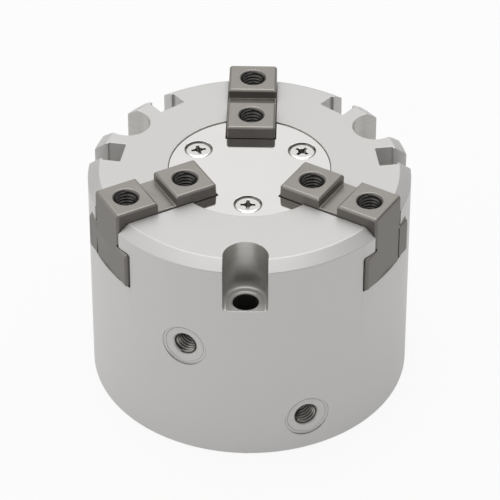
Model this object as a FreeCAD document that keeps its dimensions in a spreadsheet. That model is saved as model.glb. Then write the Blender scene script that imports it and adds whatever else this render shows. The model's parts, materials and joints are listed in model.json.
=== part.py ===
import FreeCAD, Part
import math
import os
import re

import Sketcher

# Three jaw centric gripper, closed.
# Frame: origin at the centre of the base, +Z towards the jaws, one jaw along +Y.
# A round body carries three jaws in radial T-slots. A double-acting piston in the body lifts a
# three-armed wedge cam, whose inclined T-slots pull the jaws outwards, and lowers it to close them.

document = FreeCAD.newDocument("centric_gripper")
sheet = document.addObject("Spreadsheet::Sheet", "Dimensions")

# Driving dimensions in millimetres and degrees.
SIZES = {
    # Body, outside
    "body_radius": 35,
    "rim_chamfer_width": 2.5,
    "rim_chamfer_drop": 1.9,
    "base_chamfer": 0.5,
    # Mounting scallops and their through holes
    "scallop_radius": 4.8,
    "scallop_depth": 12,
    "mount_circle_radius": 31.25,
    "mount_hole_radius": 2.75,
    "mount_hole_chamfer": 0.4,
    # Sensor grooves either side of the two rear scallops
    "sensor_groove_angle": 21,
    "sensor_groove_width": 6.3,
    "sensor_mouth_width": 5.3,
    "sensor_floor_radius": 28,
    "sensor_lip_thickness": 3.1,
    # Air ports
    "open_port_angle": 292.5,
    "open_port_height": 9,
    "close_port_angle": 247.8,
    "close_port_height": 28.3,
    "port_thread_radius": 2.5,
    "port_thread_depth": 6.2,
    "port_countersink_depth": 0.4,
    "port_face_radius": 5,
    "port_face_depth": 0.7,
    "port_passage_radius": 1,
    # Cylinder bore
    "bore_radius": 25,
    "bore_entry_chamfer": 0.4,
    "seal_clearance": 0.05,
    # Jaws, seen from the gripper's axis outwards
    "stroke_length": 6,
    "jaw_ledge_radius": 5,
    "jaw_pad_radius": 10.76,
    "jaw_flange_radius": 11,
    "jaw_end_inset_depth": 0.3,
    "outer_pad_length": 9.79,
    "cross_groove_width": 4.35,
    "cross_groove_depth": 2.2,
    "inner_thread_radius": 15.72,
    "outer_thread_inset_length": 4.84,
    "jaw_thread_hole_radius": 2.5,
    "jaw_thread_depth": 9,
    "jaw_countersink_depth": 0.42,
    "jaw_neck_width": 10.6,
    "jaw_flange_width": 17.4,
    "jaw_flange_height": 8.55,
    "slot_lip_height": 5.75,
    "jaw_pad_height": 2.6,
    "jaw_edge_chamfer": 0.5,
    "jaw_flange_chamfer": 0.4,
    "jaw_relief_radius": 0.4,
    "slide_clearance": 0.08,
    "slot_corner_chamfer": 0.3,
    # Wedge between cam and jaws, both at 45 degrees
    "cam_top_radius": 7.5,
    "cam_pocket_depth": 5.3,
    "cam_floor_gap": 0.4,
    "cam_plate_gap": 0.4,
    "cam_arm_width": 10.2,
    "cam_hub_radius": 8.5,
    "cam_hub_height": 3.6,
    "cam_pocket_clearance": 0.5,
    "cam_thread_length": 7.2,
    "wedge_gap": 0.14,
    "tongue_neck_width": 3.8,
    "tongue_head_width": 7,
    "tongue_neck_depth": 2.26,
    "tongue_head_depth": 2.26,
    "tongue_clearance": 0.1,
    # Cover plate and its screws
    "plate_radius": 17.5,
    "plate_thickness": 1.6,
    "plate_sink_depth": 0.3,
    "plate_ring_gap": 0.2,
    "plate_notch_gap": 0.22,
    "jaw_under_plate_gap": 0.2,
    "screw_circle_radius": 13,
    "screw_head_radius": 2.95,
    "screw_head_height": 1.3,
    "screw_head_gap": 0.12,
    "screw_head_sink_depth": 0.08,
    "screw_shank_radius": 1.5,
    "screw_shank_clearance": 0.15,
    "screw_length": 6.5,
    "screw_hole_spare_depth": 1.2,
    # Piston
    "piston_height": 12,
    "piston_clearance": 0.12,
    "piston_chamfer": 1.5,
    "seal_groove_height": 6,
    "seal_width": 2.6,
    "seal_section_depth": 3,
    "wear_groove_height": 2.4,
    "wear_width": 2.6,
    "wear_section_depth": 1.5,
    "magnet_groove_height": 9.4,
    "magnet_width": 1.6,
    "magnet_section_depth": 2,
    "ring_side_gap": 0.1,
    # Rod and bolt
    "rod_radius": 7,
    "rod_register_depth": 0.8,
    "bolt_radius": 3,
    "bolt_clearance": 0.2,
    "bolt_head_radius": 5,
    "bolt_head_height": 6,
    "bolt_socket_radius": 2.9,
    "bolt_socket_depth": 3,
    "bolt_head_sink_depth": 0.4,
    # Rod cover with its bush and seals
    "cover_flange_height": 2.8,
    "cover_spigot_height": 2.7,
    "cover_spigot_radius": 21,
    "bush_wall_thickness": 1.5,
    "bush_height": 2.1,
    "rod_seal_width": 2.4,
    "rod_seal_height": 1.7,
    "rod_seal_land_height": 0.7,
    "oring_groove_depth": 1.6,
    "oring_groove_width": 1.9,
    "oring_squeeze_gap": 0.02,
    # Dampers
    "damper_thickness": 1,
    "upper_damper_inner_radius": 9.5,
    "upper_damper_outer_radius": 14,
    "lower_damper_inner_radius": 12,
    "lower_damper_outer_radius": 17,
    # End cap and snap ring
    "snap_ring_inset_depth": 0.9,
    "snap_ring_thickness": 1.2,
    "snap_ring_radius": 26.1,
    "snap_ring_width": 2.7,
    "snap_ring_gap_angle": 24,
    "snap_ring_lug_radius": 2.6,
    "snap_ring_eye_radius": 1,
    "snap_groove_clearance": 0.2,
    "cap_height": 4.8,
    "cap_recess_radius": 14,
    "cap_recess_depth": 1.2,
}

for row, (name, size) in enumerate(SIZES.items(), start=1):
    sheet.set(f"A{row}", name)
    sheet.set(f"B{row}", str(size))
    sheet.setAlias(f"B{row}", name)
document.recompute()

JAW_COUNT = 3
JAW_ANGLES = {"back_jaw": 90, "left_jaw": 210, "right_jaw": 330}
REAR_SCALLOPS = (30, 150)
TOLERANCE = 1e-3

# Stations worked out from the driving dimensions, as formulas for the features below.
# The heights stack up from the base: snap ring, end cap, cylinder, rod cover, cam pocket, jaws.
RING_TOP = "(snap_ring_inset_depth + snap_ring_thickness)"
RING_GROOVE_FLOOR = "(snap_ring_radius + snap_groove_clearance)"
CAP_TOP = f"({RING_TOP} + cap_height)"
PISTON_FOOT = f"({CAP_TOP} + damper_thickness)"
PISTON_TOP = f"({PISTON_FOOT} + piston_height)"
SPIGOT_FOOT = f"({PISTON_TOP} + stroke_length + damper_thickness)"
FLANGE_FOOT = f"({SPIGOT_FOOT} + cover_spigot_height)"
BORE_DEPTH = f"({FLANGE_FOOT} + cover_flange_height)"
JAW_BOTTOM = f"({BORE_DEPTH} + cam_pocket_depth)"
FLANGE_TOP = f"({JAW_BOTTOM} + jaw_flange_height)"
BODY_HEIGHT = f"({FLANGE_TOP} + slot_lip_height)"
PAD_TOP = f"({BODY_HEIGHT} + jaw_pad_height)"
PLATE_TOP = f"({BODY_HEIGHT} - plate_sink_depth)"
PLATE_UNDERSIDE = f"({PLATE_TOP} - plate_thickness)"
LEDGE_TOP = f"({PLATE_UNDERSIDE} - jaw_under_plate_gap)"
SCALLOP_FLOOR = f"({BODY_HEIGHT} - scallop_depth)"
CHANNEL_FLOOR = f"({JAW_BOTTOM} - slide_clearance)"
CHANNEL_ROOF = f"({FLANGE_TOP} + slide_clearance)"
CAM_FLOOR = f"({BORE_DEPTH} + cam_floor_gap)"
CAM_TOP = f"({PLATE_UNDERSIDE} - cam_plate_gap - stroke_length)"

# Radii and half widths
FIT_RADIUS = "(bore_radius - seal_clearance)"
PISTON_RADIUS = "(bore_radius - piston_clearance)"
PLATE_SEAT = "(plate_radius + plate_ring_gap)"
NECK_HALF = "(jaw_neck_width / 2)"
FLANGE_HALF = "(jaw_flange_width / 2)"
JAW_OUTER_END = "(body_radius - jaw_end_inset_depth)"
CROSS_GROOVE_OUTER = f"({JAW_OUTER_END} - outer_pad_length)"
CROSS_GROOVE_INNER = f"({CROSS_GROOVE_OUTER} - cross_groove_width)"
OUTER_THREAD_RADIUS = f"({JAW_OUTER_END} - outer_thread_inset_length)"

# On the cam's inclined faces radius plus height is the same everywhere.
WEDGE_SUM = f"({CAM_TOP} + cam_top_radius)"
JAW_FACE_SUM = f"({WEDGE_SUM} + wedge_gap)"
NECK_SUM = f"({WEDGE_SUM} - tongue_neck_depth)"
HEAD_SUM = f"({NECK_SUM} - tongue_head_depth)"
CAM_FOOT_RADIUS = f"({WEDGE_SUM} - {CAM_FLOOR})"
CAM_POCKET = f"(sqrt({CAM_FOOT_RADIUS}^2 + (cam_arm_width / 2)^2) + cam_pocket_clearance)"

# Rod, bolt and screws
ROD_FOOT = f"({PISTON_TOP} - rod_register_depth)"
ROD_TOP = f"({CAM_FLOOR} + rod_register_depth)"
ROD_HOLE = "(rod_radius + seal_clearance)"
BOLT_SEAT = f"({PISTON_FOOT} + bolt_head_height + bolt_head_sink_depth)"
BOLT_END = f"({CAM_FLOOR} + cam_thread_length - bolt_head_sink_depth)"
BOLT_HOLE = "(bolt_radius + bolt_clearance)"
SCREW_TOP = f"({PLATE_TOP} - screw_head_sink_depth)"
SCREW_FOOT = f"({SCREW_TOP} - screw_length)"


def bound(formula):
    """Point every name in a formula at its cell of the sheet."""
    return re.sub(r"[a-z_]+", lambda word: f"Dimensions.{word.group()}" if word.group() in SIZES
                  else word.group(), formula)


def measure(formula):
    """Value of a formula with the sizes as they stand."""
    return float(sheet.evalExpression(formula))


def new_body(name):
    body = document.addObject("PartDesign::Body", name)
    body.Label = name
    body.AllowCompound = True
    return body


def origin_feature(body, role):
    return next(feature for feature in body.Origin.OriginFeatures if feature.Role == role)


def new_sketch(body, name, plane, shift=None, turn=None):
    """Sketch on a plane of the body's own origin, shifted in that plane's frame and turned about Z."""
    sketch = body.newObject("Sketcher::SketchObject", name)
    sketch.AttachmentSupport = [(origin_feature(body, plane), "")]
    sketch.MapMode = "FlatFace"
    for axis, formula in (shift or {}).items():
        sketch.setExpression(f"AttachmentOffset.Base.{axis}", bound(formula))
    if turn:
        local_axis = FreeCAD.Vector(0, 0, 1) if plane == "XY_Plane" else FreeCAD.Vector(0, 1, 0)
        sketch.AttachmentOffset = FreeCAD.Placement(
            sketch.AttachmentOffset.Base, FreeCAD.Rotation(local_axis, measure(turn)))
        sketch.setExpression("AttachmentOffset.Rotation.Angle", f"({bound(turn)}) * 1deg")
    return sketch


def place(sketch, geometry, point, across, up):
    """Tie one point of a sketch to its distances from the sketch's origin; None leaves one free."""
    for kind, axis_line, formula in (("DistanceX", -2, across), ("DistanceY", -1, up)):
        if formula is None:
            continue
        if formula == "0":
            sketch.addConstraint(Sketcher.Constraint("PointOnObject", geometry, point, axis_line))
            continue
        index = sketch.addConstraint(
            Sketcher.Constraint(kind, -1, 1, geometry, point, measure(formula)))
        sketch.setExpression(f"Constraints[{index}]", bound(formula))


def outline(body, name, plane, corners, shift=None, turn=None):
    """Closed outline of straight lines through the corners."""
    sketch = new_sketch(body, name, plane, shift, turn)
    points = [FreeCAD.Vector(measure(across), measure(up), 0) for across, up in corners]
    count = len(points)
    lines = [Part.LineSegment(points[i], points[(i + 1) % count]) for i in range(count)]
    sketch.addGeometry(lines, False)
    joins = [Sketcher.Constraint("Coincident", i, 2, (i + 1) % count, 1) for i in range(count)]
    sketch.addConstraint(joins)
    for i, (across, up) in enumerate(corners):
        place(sketch, i, 1, across, up)
    return sketch


def circle(body, name, plane, across, up, radius, shift=None):
    sketch = new_sketch(body, name, plane, shift)
    centre = FreeCAD.Vector(measure(across), measure(up), 0)
    sketch.addGeometry(Part.Circle(centre, FreeCAD.Vector(0, 0, 1), measure(radius)), False)
    place(sketch, 0, 3, across, up)
    index = sketch.addConstraint(Sketcher.Constraint("Radius", 0, measure(radius)))
    sketch.setExpression(f"Constraints[{index}]", bound(radius))
    return sketch


def scallop_outline(body, name):
    """Half round towards the body's axis, with straight sides that run out through the rim."""
    sketch = new_sketch(body, name, "XY_Plane", {"z": BODY_HEIGHT})
    radius = measure("scallop_radius")
    centre = -measure("mount_circle_radius")
    end = -measure("body_radius + scallop_radius")
    arc = Part.ArcOfCircle(Part.Circle(FreeCAD.Vector(0, centre, 0), FreeCAD.Vector(0, 0, 1), radius),
                           0, math.pi)
    sides = [FreeCAD.Vector(-radius, centre, 0), FreeCAD.Vector(-radius, end, 0),
             FreeCAD.Vector(radius, end, 0), FreeCAD.Vector(radius, centre, 0)]
    lines = [Part.LineSegment(sides[i], sides[i + 1]) for i in range(3)]
    sketch.addGeometry([arc] + lines, False)
    sketch.addConstraint([
        Sketcher.Constraint("Coincident", 0, 2, 1, 1),
        Sketcher.Constraint("Coincident", 1, 2, 2, 1),
        Sketcher.Constraint("Coincident", 2, 2, 3, 1),
        Sketcher.Constraint("Coincident", 3, 2, 0, 1),
    ])
    place(sketch, 0, 3, "0", "-mount_circle_radius")
    place(sketch, 1, 1, "-scallop_radius", "-mount_circle_radius")
    place(sketch, 1, 2, "-scallop_radius", "-(body_radius + scallop_radius)")
    place(sketch, 2, 2, "scallop_radius", "-(body_radius + scallop_radius)")
    place(sketch, 3, 2, None, "-mount_circle_radius")
    return sketch


def feature(body, kind, name, sketch, **formulas):
    """PartDesign feature on a sketch, with its lengths bound to formulas."""
    made = body.newObject(f"PartDesign::{kind}", name)
    made.Profile = sketch
    for key, formula in formulas.items():
        setattr(made, key, measure(formula))
        made.setExpression(key, bound(formula))
    return made


def turned(body, name, sketch, axis="V_Axis", kind="Revolution"):
    """Full turn of a sketch about one of its own axes."""
    made = body.newObject(f"PartDesign::{kind}", name)
    made.Profile = sketch
    made.ReferenceAxis = (sketch, [axis])
    made.Angle = 360
    return made


def symmetric(made):
    made.SideType = "Symmetric"
    return made


def around(body, name, originals, count):
    """Repeat features about the body's own vertical axis."""
    pattern = body.newObject("PartDesign::PolarPattern", name)
    pattern.Originals = originals
    pattern.Axis = (origin_feature(body, "Z_Axis"), [""])
    pattern.Angle = 360
    pattern.Occurrences = count
    body.Tip = pattern
    return pattern


def edges_where(shape, test):
    return [f"Edge{i}" for i, edge in enumerate(shape.Edges, start=1) if test(edge)]


def bevel(body, name, test, size):
    """Chamfer on the edges of the body so far that pass a test."""
    document.recompute()
    base = body.Tip
    edges = edges_where(base.Shape, test)
    made = body.newObject("PartDesign::Chamfer", name)
    made.Base = (base, edges)
    made.Size = measure(size)
    made.setExpression("Size", bound(size))
    return made


def ring(name, inner, outer, foot, top):
    """Plain turned ring of rectangular section."""
    body = new_body(name)
    corners = [(inner, foot), (outer, foot), (outer, top), (inner, top)]
    turned(body, f"{name}_turned", outline(body, f"{name}_section", "XZ_Plane", corners))
    return body


def pressed_ring(name, middle):
    """O-ring as it sits in its groove, pressed flat by the groove's floor and by the bore."""
    body = new_body(name)
    inner = "(bore_radius - oring_groove_depth + oring_squeeze_gap)"
    outer = "(bore_radius - oring_squeeze_gap)"
    round_off = "(oring_groove_depth / 4)"
    foot = f"({middle} - oring_groove_width / 2 + oring_squeeze_gap)"
    top = f"({middle} + oring_groove_width / 2 - oring_squeeze_gap)"
    corners = [
        (f"{inner} + {round_off}", foot),
        (f"{outer} - {round_off}", foot),
        (outer, f"{foot} + {round_off}"),
        (outer, f"{top} - {round_off}"),
        (f"{outer} - {round_off}", top),
        (f"{inner} + {round_off}", top),
        (inner, f"{top} - {round_off}"),
        (inner, f"{foot} + {round_off}"),
    ]
    turned(body, f"{name}_turned", outline(body, f"{name}_section", "XZ_Plane", corners))
    return body


def near(value, formula):
    return abs(value - measure(formula)) < TOLERANCE


def make_body():
    body = new_body("body")
    # Turned blank: rim chamfer, plate seat, cam pocket, cylinder bore and snap ring groove
    blank = [
        ("bore_radius + bore_entry_chamfer", "0"),
        ("body_radius - base_chamfer", "0"),
        ("body_radius", "base_chamfer"),
        ("body_radius", f"{BODY_HEIGHT} - rim_chamfer_drop"),
        ("body_radius - rim_chamfer_width", BODY_HEIGHT),
        (PLATE_SEAT, BODY_HEIGHT),
        (PLATE_SEAT, PLATE_UNDERSIDE),
        ("0", PLATE_UNDERSIDE),
        ("0", CHANNEL_FLOOR),
        (CAM_POCKET, CHANNEL_FLOOR),
        (CAM_POCKET, BORE_DEPTH),
        ("bore_radius", BORE_DEPTH),
        ("bore_radius", RING_TOP),
        (RING_GROOVE_FLOOR, RING_TOP),
        (RING_GROOVE_FLOOR, "snap_ring_inset_depth"),
        ("bore_radius", "snap_ring_inset_depth"),
        ("bore_radius", "bore_entry_chamfer"),
    ]
    turned(body, "turned_blank", outline(body, "blank_section", "XZ_Plane", blank))

    # Radial T-slots for the jaws: flange channel below, narrower throat up to the top face
    channel_half = f"{FLANGE_HALF} + slide_clearance"
    throat_half = f"{NECK_HALF} + slide_clearance"
    slot = [
        (f"-({channel_half})", CHANNEL_FLOOR),
        (channel_half, CHANNEL_FLOOR),
        (channel_half, f"{CHANNEL_ROOF} - slot_corner_chamfer"),
        (f"{channel_half} - slot_corner_chamfer", CHANNEL_ROOF),
        (throat_half, CHANNEL_ROOF),
        (throat_half, f"{BODY_HEIGHT} + jaw_pad_height"),
        (f"-({throat_half})", f"{BODY_HEIGHT} + jaw_pad_height"),
        (f"-({throat_half})", CHANNEL_ROOF),
        (f"-({channel_half} - slot_corner_chamfer)", CHANNEL_ROOF),
        (f"-({channel_half})", f"{CHANNEL_ROOF} - slot_corner_chamfer"),
    ]
    t_slot = feature(body, "Pocket", "t_slot", outline(body, "t_slot_section", "XZ_Plane", slot),
                     Length="body_radius + stroke_length")
    around(body, "t_slots", [t_slot], JAW_COUNT)

    # Mounting scallops with a through hole each
    scallop = feature(body, "Pocket", "scallop", scallop_outline(body, "scallop_section"),
                      Length="scallop_depth")
    around(body, "scallops", [scallop], JAW_COUNT)
    chamfered = "(mount_hole_radius + mount_hole_chamfer)"
    hole_profile = [
        ("0", "0"),
        (chamfered, "0"),
        ("mount_hole_radius", "mount_hole_chamfer"),
        ("mount_hole_radius", f"{SCALLOP_FLOOR} - mount_hole_chamfer"),
        (chamfered, SCALLOP_FLOOR),
        ("0", SCALLOP_FLOOR),
    ]
    hole = turned(body, "mount_hole",
                  outline(body, "mount_hole_section", "YZ_Plane", hole_profile,
                          {"x": "-mount_circle_radius"}),
                  "V_Axis", "Groove")
    around(body, "mount_holes", [hole], JAW_COUNT)

    # Sensor grooves over the full height, each with a narrower mouth between two lips
    lip_radius = "body_radius - sensor_lip_thickness"
    groove = [
        ("sensor_floor_radius", "-sensor_groove_width / 2"),
        (lip_radius, "-sensor_groove_width / 2"),
        (lip_radius, "-sensor_mouth_width / 2"),
        ("body_radius + sensor_lip_thickness", "-sensor_mouth_width / 2"),
        ("body_radius + sensor_lip_thickness", "sensor_mouth_width / 2"),
        (lip_radius, "sensor_mouth_width / 2"),
        (lip_radius, "sensor_groove_width / 2"),
        ("sensor_floor_radius", "sensor_groove_width / 2"),
    ]
    for scallop_turn in REAR_SCALLOPS:
        for side, sign in (("right", "-"), ("left", "+")):
            name = f"sensor_groove_{scallop_turn}_{side}"
            section = outline(body, f"{name}_section", "XY_Plane", groove, {"z": BODY_HEIGHT},
                              f"{scallop_turn} {sign} sensor_groove_angle")
            body.Tip = feature(body, "Pocket", name, section, Length=BODY_HEIGHT)

    # Air ports: spot face, thread, then a small passage into the bore
    for port in ("open_port", "close_port"):
        face = "body_radius - port_face_depth"
        thread_end = "body_radius - port_thread_depth"
        profile = [
            ("bore_radius - 1", "0"),
            ("body_radius + 1", "0"),
            ("body_radius + 1", "port_face_radius"),
            (face, "port_face_radius"),
            (face, "port_thread_radius + port_countersink_depth"),
            (f"{face} - port_countersink_depth", "port_thread_radius"),
            (thread_end, "port_thread_radius"),
            (thread_end, "port_passage_radius"),
            ("bore_radius - 1", "port_passage_radius"),
        ]
        section = outline(body, f"{port}_section", "XZ_Plane", profile,
                          {"y": f"{port}_height"}, f"{port}_angle")
        body.Tip = turned(body, port, section, "H_Axis", "Groove")

    # Tapped holes for the plate screws
    tapped = feature(body, "Pocket", "screw_hole",
                     circle(body, "screw_hole_section", "XY_Plane", "0", "-screw_circle_radius",
                            "screw_shank_radius", {"z": PLATE_UNDERSIDE}),
                     Length=f"{PLATE_UNDERSIDE} - {SCREW_FOOT} + screw_hole_spare_depth")
    around(body, "screw_holes", [tapped], JAW_COUNT)
    return body


def wedge_slab(depth_from, depth_to, foot, top):
    """Corners of a band that lies along the wedge, between two sums of radius and height."""
    return [
        (f"{depth_from} - {foot}", foot),
        (f"{depth_from} - {top}", top),
        (f"{depth_to} - {top}", top),
        (f"{depth_to} - {foot}", foot),
    ]


def make_jaw(name, angle):
    body = new_body(name)
    # Neck, pads and the ledge that runs in under the plate
    neck = [
        (JAW_OUTER_END, JAW_BOTTOM),
        (JAW_OUTER_END, PAD_TOP),
        (CROSS_GROOVE_OUTER, PAD_TOP),
        (CROSS_GROOVE_OUTER, f"{PAD_TOP} - cross_groove_depth"),
        (CROSS_GROOVE_INNER, f"{PAD_TOP} - cross_groove_depth"),
        (CROSS_GROOVE_INNER, PAD_TOP),
        ("jaw_pad_radius", PAD_TOP),
        ("jaw_pad_radius", LEDGE_TOP),
        ("jaw_ledge_radius", LEDGE_TOP),
        ("jaw_ledge_radius", f"{JAW_FACE_SUM} - jaw_ledge_radius"),
        (f"{JAW_FACE_SUM} - {JAW_BOTTOM}", JAW_BOTTOM),
    ]
    symmetric(feature(body, "Pad", f"{name}_neck", outline(body, f"{name}_profile", "XZ_Plane", neck),
                      Length="jaw_neck_width"))

    # Edges of the pads and the upright corners of the neck
    def pad_edge(edge):
        box = edge.BoundBox
        top = near(box.ZMin, PAD_TOP) and near(box.ZMax, PAD_TOP)
        upright = box.ZLength > measure("jaw_pad_height / 2") and box.XLength < TOLERANCE
        at_end = near(box.XMin, "jaw_pad_radius") or near(box.XMin, JAW_OUTER_END)
        return top or (upright and at_end)

    body.Tip = bevel(body, f"{name}_edges", pad_edge, "jaw_edge_chamfer")

    # Flange that the T-slot holds down
    flange = [
        (JAW_OUTER_END, JAW_BOTTOM),
        (JAW_OUTER_END, FLANGE_TOP),
        ("jaw_flange_radius", FLANGE_TOP),
        ("jaw_flange_radius", f"{JAW_FACE_SUM} - jaw_flange_radius"),
        (f"{JAW_FACE_SUM} - {JAW_BOTTOM}", JAW_BOTTOM),
    ]
    symmetric(feature(body, "Pad", f"{name}_flange",
                      outline(body, f"{name}_flange_profile", "XZ_Plane", flange),
                      Length="jaw_flange_width"))

    def flange_corner(edge):
        box = edge.BoundBox
        side = near(abs(box.YMin), FLANGE_HALF) and box.YLength < TOLERANCE
        upright = side and box.XLength < TOLERANCE and near(box.XMin, JAW_OUTER_END)
        along = side and box.ZLength < TOLERANCE
        sole = near(box.XMin, JAW_OUTER_END) and near(box.ZMax, JAW_BOTTOM)
        return upright or along or sole

    body.Tip = bevel(body, f"{name}_flange_edges", flange_corner, "jaw_flange_chamfer")

    # Small round reliefs where neck and flange meet
    for side, sign in (("left", ""), ("right", "-")):
        section = circle(body, f"{name}_relief_{side}_section", "YZ_Plane",
                         f"{sign}({NECK_HALF} - jaw_relief_radius / 2)",
                         f"{FLANGE_TOP} + jaw_relief_radius / 2", "jaw_relief_radius",
                         {"z": JAW_OUTER_END})
        body.Tip = feature(body, "Pocket", f"{name}_relief_{side}", section,
                           Length=f"{JAW_OUTER_END} - jaw_pad_radius")

    # Inclined T-tongue that hooks into the cam
    neck_band = wedge_slab(JAW_FACE_SUM, f"({NECK_SUM} + tongue_clearance)", JAW_BOTTOM, CAM_TOP)
    head_band = wedge_slab(f"({NECK_SUM} - tongue_clearance)", f"({HEAD_SUM} + tongue_clearance)",
                           JAW_BOTTOM, CAM_TOP)
    link_band = wedge_slab(f"({NECK_SUM} + tongue_clearance)", f"({NECK_SUM} - tongue_clearance)",
                           JAW_BOTTOM, CAM_TOP)
    bands = (("neck", neck_band, "tongue_neck_width - 2 * tongue_clearance"),
             ("link", link_band, "tongue_neck_width - 2 * tongue_clearance"),
             ("head", head_band, "tongue_head_width - 2 * tongue_clearance"))
    for part_name, band, width in bands:
        section = outline(body, f"{name}_tongue_{part_name}_section", "XZ_Plane", band)
        symmetric(feature(body, "Pad", f"{name}_tongue_{part_name}", section, Length=width))

    # Two threaded holes with a countersunk mouth
    for end, thread_place in (("inner", "inner_thread_radius"), ("outer", OUTER_THREAD_RADIUS)):
        tip = "(jaw_thread_hole_radius / 2)"
        depth = f"{PAD_TOP} - jaw_thread_depth"
        profile = [
            ("0", f"{PAD_TOP} + 1"),
            ("0", f"{depth} - {tip}"),
            ("jaw_thread_hole_radius", depth),
            ("jaw_thread_hole_radius", f"{PAD_TOP} - jaw_countersink_depth"),
            ("jaw_thread_hole_radius + jaw_countersink_depth", PAD_TOP),
            ("jaw_thread_hole_radius + jaw_countersink_depth", f"{PAD_TOP} + 1"),
        ]
        section = outline(body, f"{name}_{end}_thread_section", "XZ_Plane", profile, {"x": thread_place})
        body.Tip = turned(body, f"{name}_{end}_thread", section, "V_Axis", "Groove")

    body.Placement = FreeCAD.Placement(
        FreeCAD.Vector(0, 0, 0), FreeCAD.Rotation(FreeCAD.Vector(0, 0, 1), angle))
    return body


def make_wedge_cam():
    body = new_body("wedge_cam")
    arm = [
        ("0", CAM_FLOOR),
        (f"{WEDGE_SUM} - {CAM_FLOOR}", CAM_FLOOR),
        (f"{WEDGE_SUM} - {CAM_TOP}", CAM_TOP),
        ("0", CAM_TOP),
    ]
    arm_pad = symmetric(feature(body, "Pad", "cam_arm", outline(body, "cam_arm_profile", "YZ_Plane", arm),
                                Length="cam_arm_width"))
    around(body, "cam_arms", [arm_pad], JAW_COUNT)
    hub = [
        ("0", CAM_FLOOR),
        ("cam_hub_radius", CAM_FLOOR),
        ("cam_hub_radius", f"{CAM_FLOOR} + cam_hub_height"),
        ("0", f"{CAM_FLOOR} + cam_hub_height"),
    ]
    body.Tip = turned(body, "cam_hub", outline(body, "cam_hub_section", "XZ_Plane", hub))
    # Inclined T-slots for the jaws' tongues
    foot = f"({CAM_FLOOR} - 1)"
    top = f"({CAM_TOP} + 1)"
    mouth = wedge_slab(f"({WEDGE_SUM} + cam_floor_gap)", NECK_SUM, foot, top)
    head = wedge_slab(NECK_SUM, HEAD_SUM, foot, top)
    slots = []
    for part_name, band, width in (("mouth", mouth, "tongue_neck_width"),
                                   ("head", head, "tongue_head_width")):
        section = outline(body, f"cam_slot_{part_name}_section", "YZ_Plane", band)
        slots.append(symmetric(feature(body, "Pocket", f"cam_slot_{part_name}", section, Length=width)))
    around(body, "cam_slots", slots, JAW_COUNT)
    # Register for the rod and thread for the bolt
    bore = [
        ("0", CAM_FLOOR),
        (ROD_HOLE, CAM_FLOOR),
        (ROD_HOLE, ROD_TOP),
        ("bolt_radius", ROD_TOP),
        ("bolt_radius", f"{CAM_FLOOR} + cam_thread_length"),
        ("0", f"{CAM_FLOOR} + cam_thread_length"),
    ]
    body.Tip = turned(body, "cam_thread", outline(body, "cam_thread_section", "XZ_Plane", bore),
                      "V_Axis", "Groove")
    return body


def make_cover_plate():
    body = new_body("cover_plate")
    feature(body, "Pad", "plate_disc",
            circle(body, "plate_disc_section", "XY_Plane", "0", "0", "plate_radius",
                   {"z": PLATE_UNDERSIDE}),
            Length="plate_thickness")
    # Notches that fit round the jaws when they are closed
    half = f"({NECK_HALF} + plate_notch_gap)"
    notch_outline = [
        (f"-{half}", "jaw_pad_radius - plate_notch_gap"),
        (half, "jaw_pad_radius - plate_notch_gap"),
        (half, "plate_radius + 1"),
        (f"-{half}", "plate_radius + 1"),
    ]
    notch = feature(body, "Pocket", "plate_notch",
                    outline(body, "plate_notch_section", "XY_Plane", notch_outline, {"z": PLATE_TOP}),
                    Length="plate_thickness")
    around(body, "plate_notches", [notch], JAW_COUNT)
    # Countersunk holes for the screws
    head = "(screw_head_radius + screw_head_gap)"
    shank = "(screw_shank_radius + screw_shank_clearance)"
    countersink = [
        ("0", PLATE_UNDERSIDE),
        (shank, PLATE_UNDERSIDE),
        (shank, f"{SCREW_TOP} - screw_head_height"),
        (head, SCREW_TOP),
        (head, PLATE_TOP),
        ("0", PLATE_TOP),
    ]
    sink = turned(body, "countersink",
                  outline(body, "countersink_section", "YZ_Plane", countersink,
                          {"x": "-screw_circle_radius"}),
                  "V_Axis", "Groove")
    around(body, "countersinks", [sink], JAW_COUNT)
    return body


def make_cover_screws():
    body = new_body("cover_screws")
    profile = [
        ("0", SCREW_TOP),
        ("0", SCREW_FOOT),
        ("screw_shank_radius", SCREW_FOOT),
        ("screw_shank_radius", f"{SCREW_TOP} - screw_head_height"),
        ("screw_head_radius", SCREW_TOP),
    ]
    screw = turned(body, "cover_screw",
                   outline(body, "cover_screw_section", "YZ_Plane", profile,
                           {"x": "-screw_circle_radius"}))
    around(body, "all_cover_screws", [screw], JAW_COUNT)
    return body


def ring_groove(base, width, section):
    """Corners of a groove in the piston's outside, from the foot upwards."""
    foot = f"{PISTON_FOOT} + {base}"
    top = f"{foot} + {width} + 2 * ring_side_gap"
    floor = f"bore_radius - {section}"
    return [(PISTON_RADIUS, foot), (floor, foot), (floor, top), (PISTON_RADIUS, top)]


def make_piston():
    body = new_body("piston")
    socket = "(bolt_head_radius + bolt_clearance)"
    profile = [
        (socket, PISTON_FOOT),
        (f"{PISTON_RADIUS} - piston_chamfer", PISTON_FOOT),
        (PISTON_RADIUS, f"{PISTON_FOOT} + piston_chamfer"),
    ]
    profile += ring_groove("wear_groove_height", "wear_width", "wear_section_depth")
    profile += ring_groove("seal_groove_height", "seal_width", "seal_section_depth")
    profile += ring_groove("magnet_groove_height", "magnet_width", "magnet_section_depth")
    profile += [
        (PISTON_RADIUS, PISTON_TOP),
        (ROD_HOLE, PISTON_TOP),
        (ROD_HOLE, ROD_FOOT),
        (BOLT_HOLE, ROD_FOOT),
        (BOLT_HOLE, BOLT_SEAT),
        (socket, BOLT_SEAT),
    ]
    turned(body, "piston_turned", outline(body, "piston_section", "XZ_Plane", profile))
    return body


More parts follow.
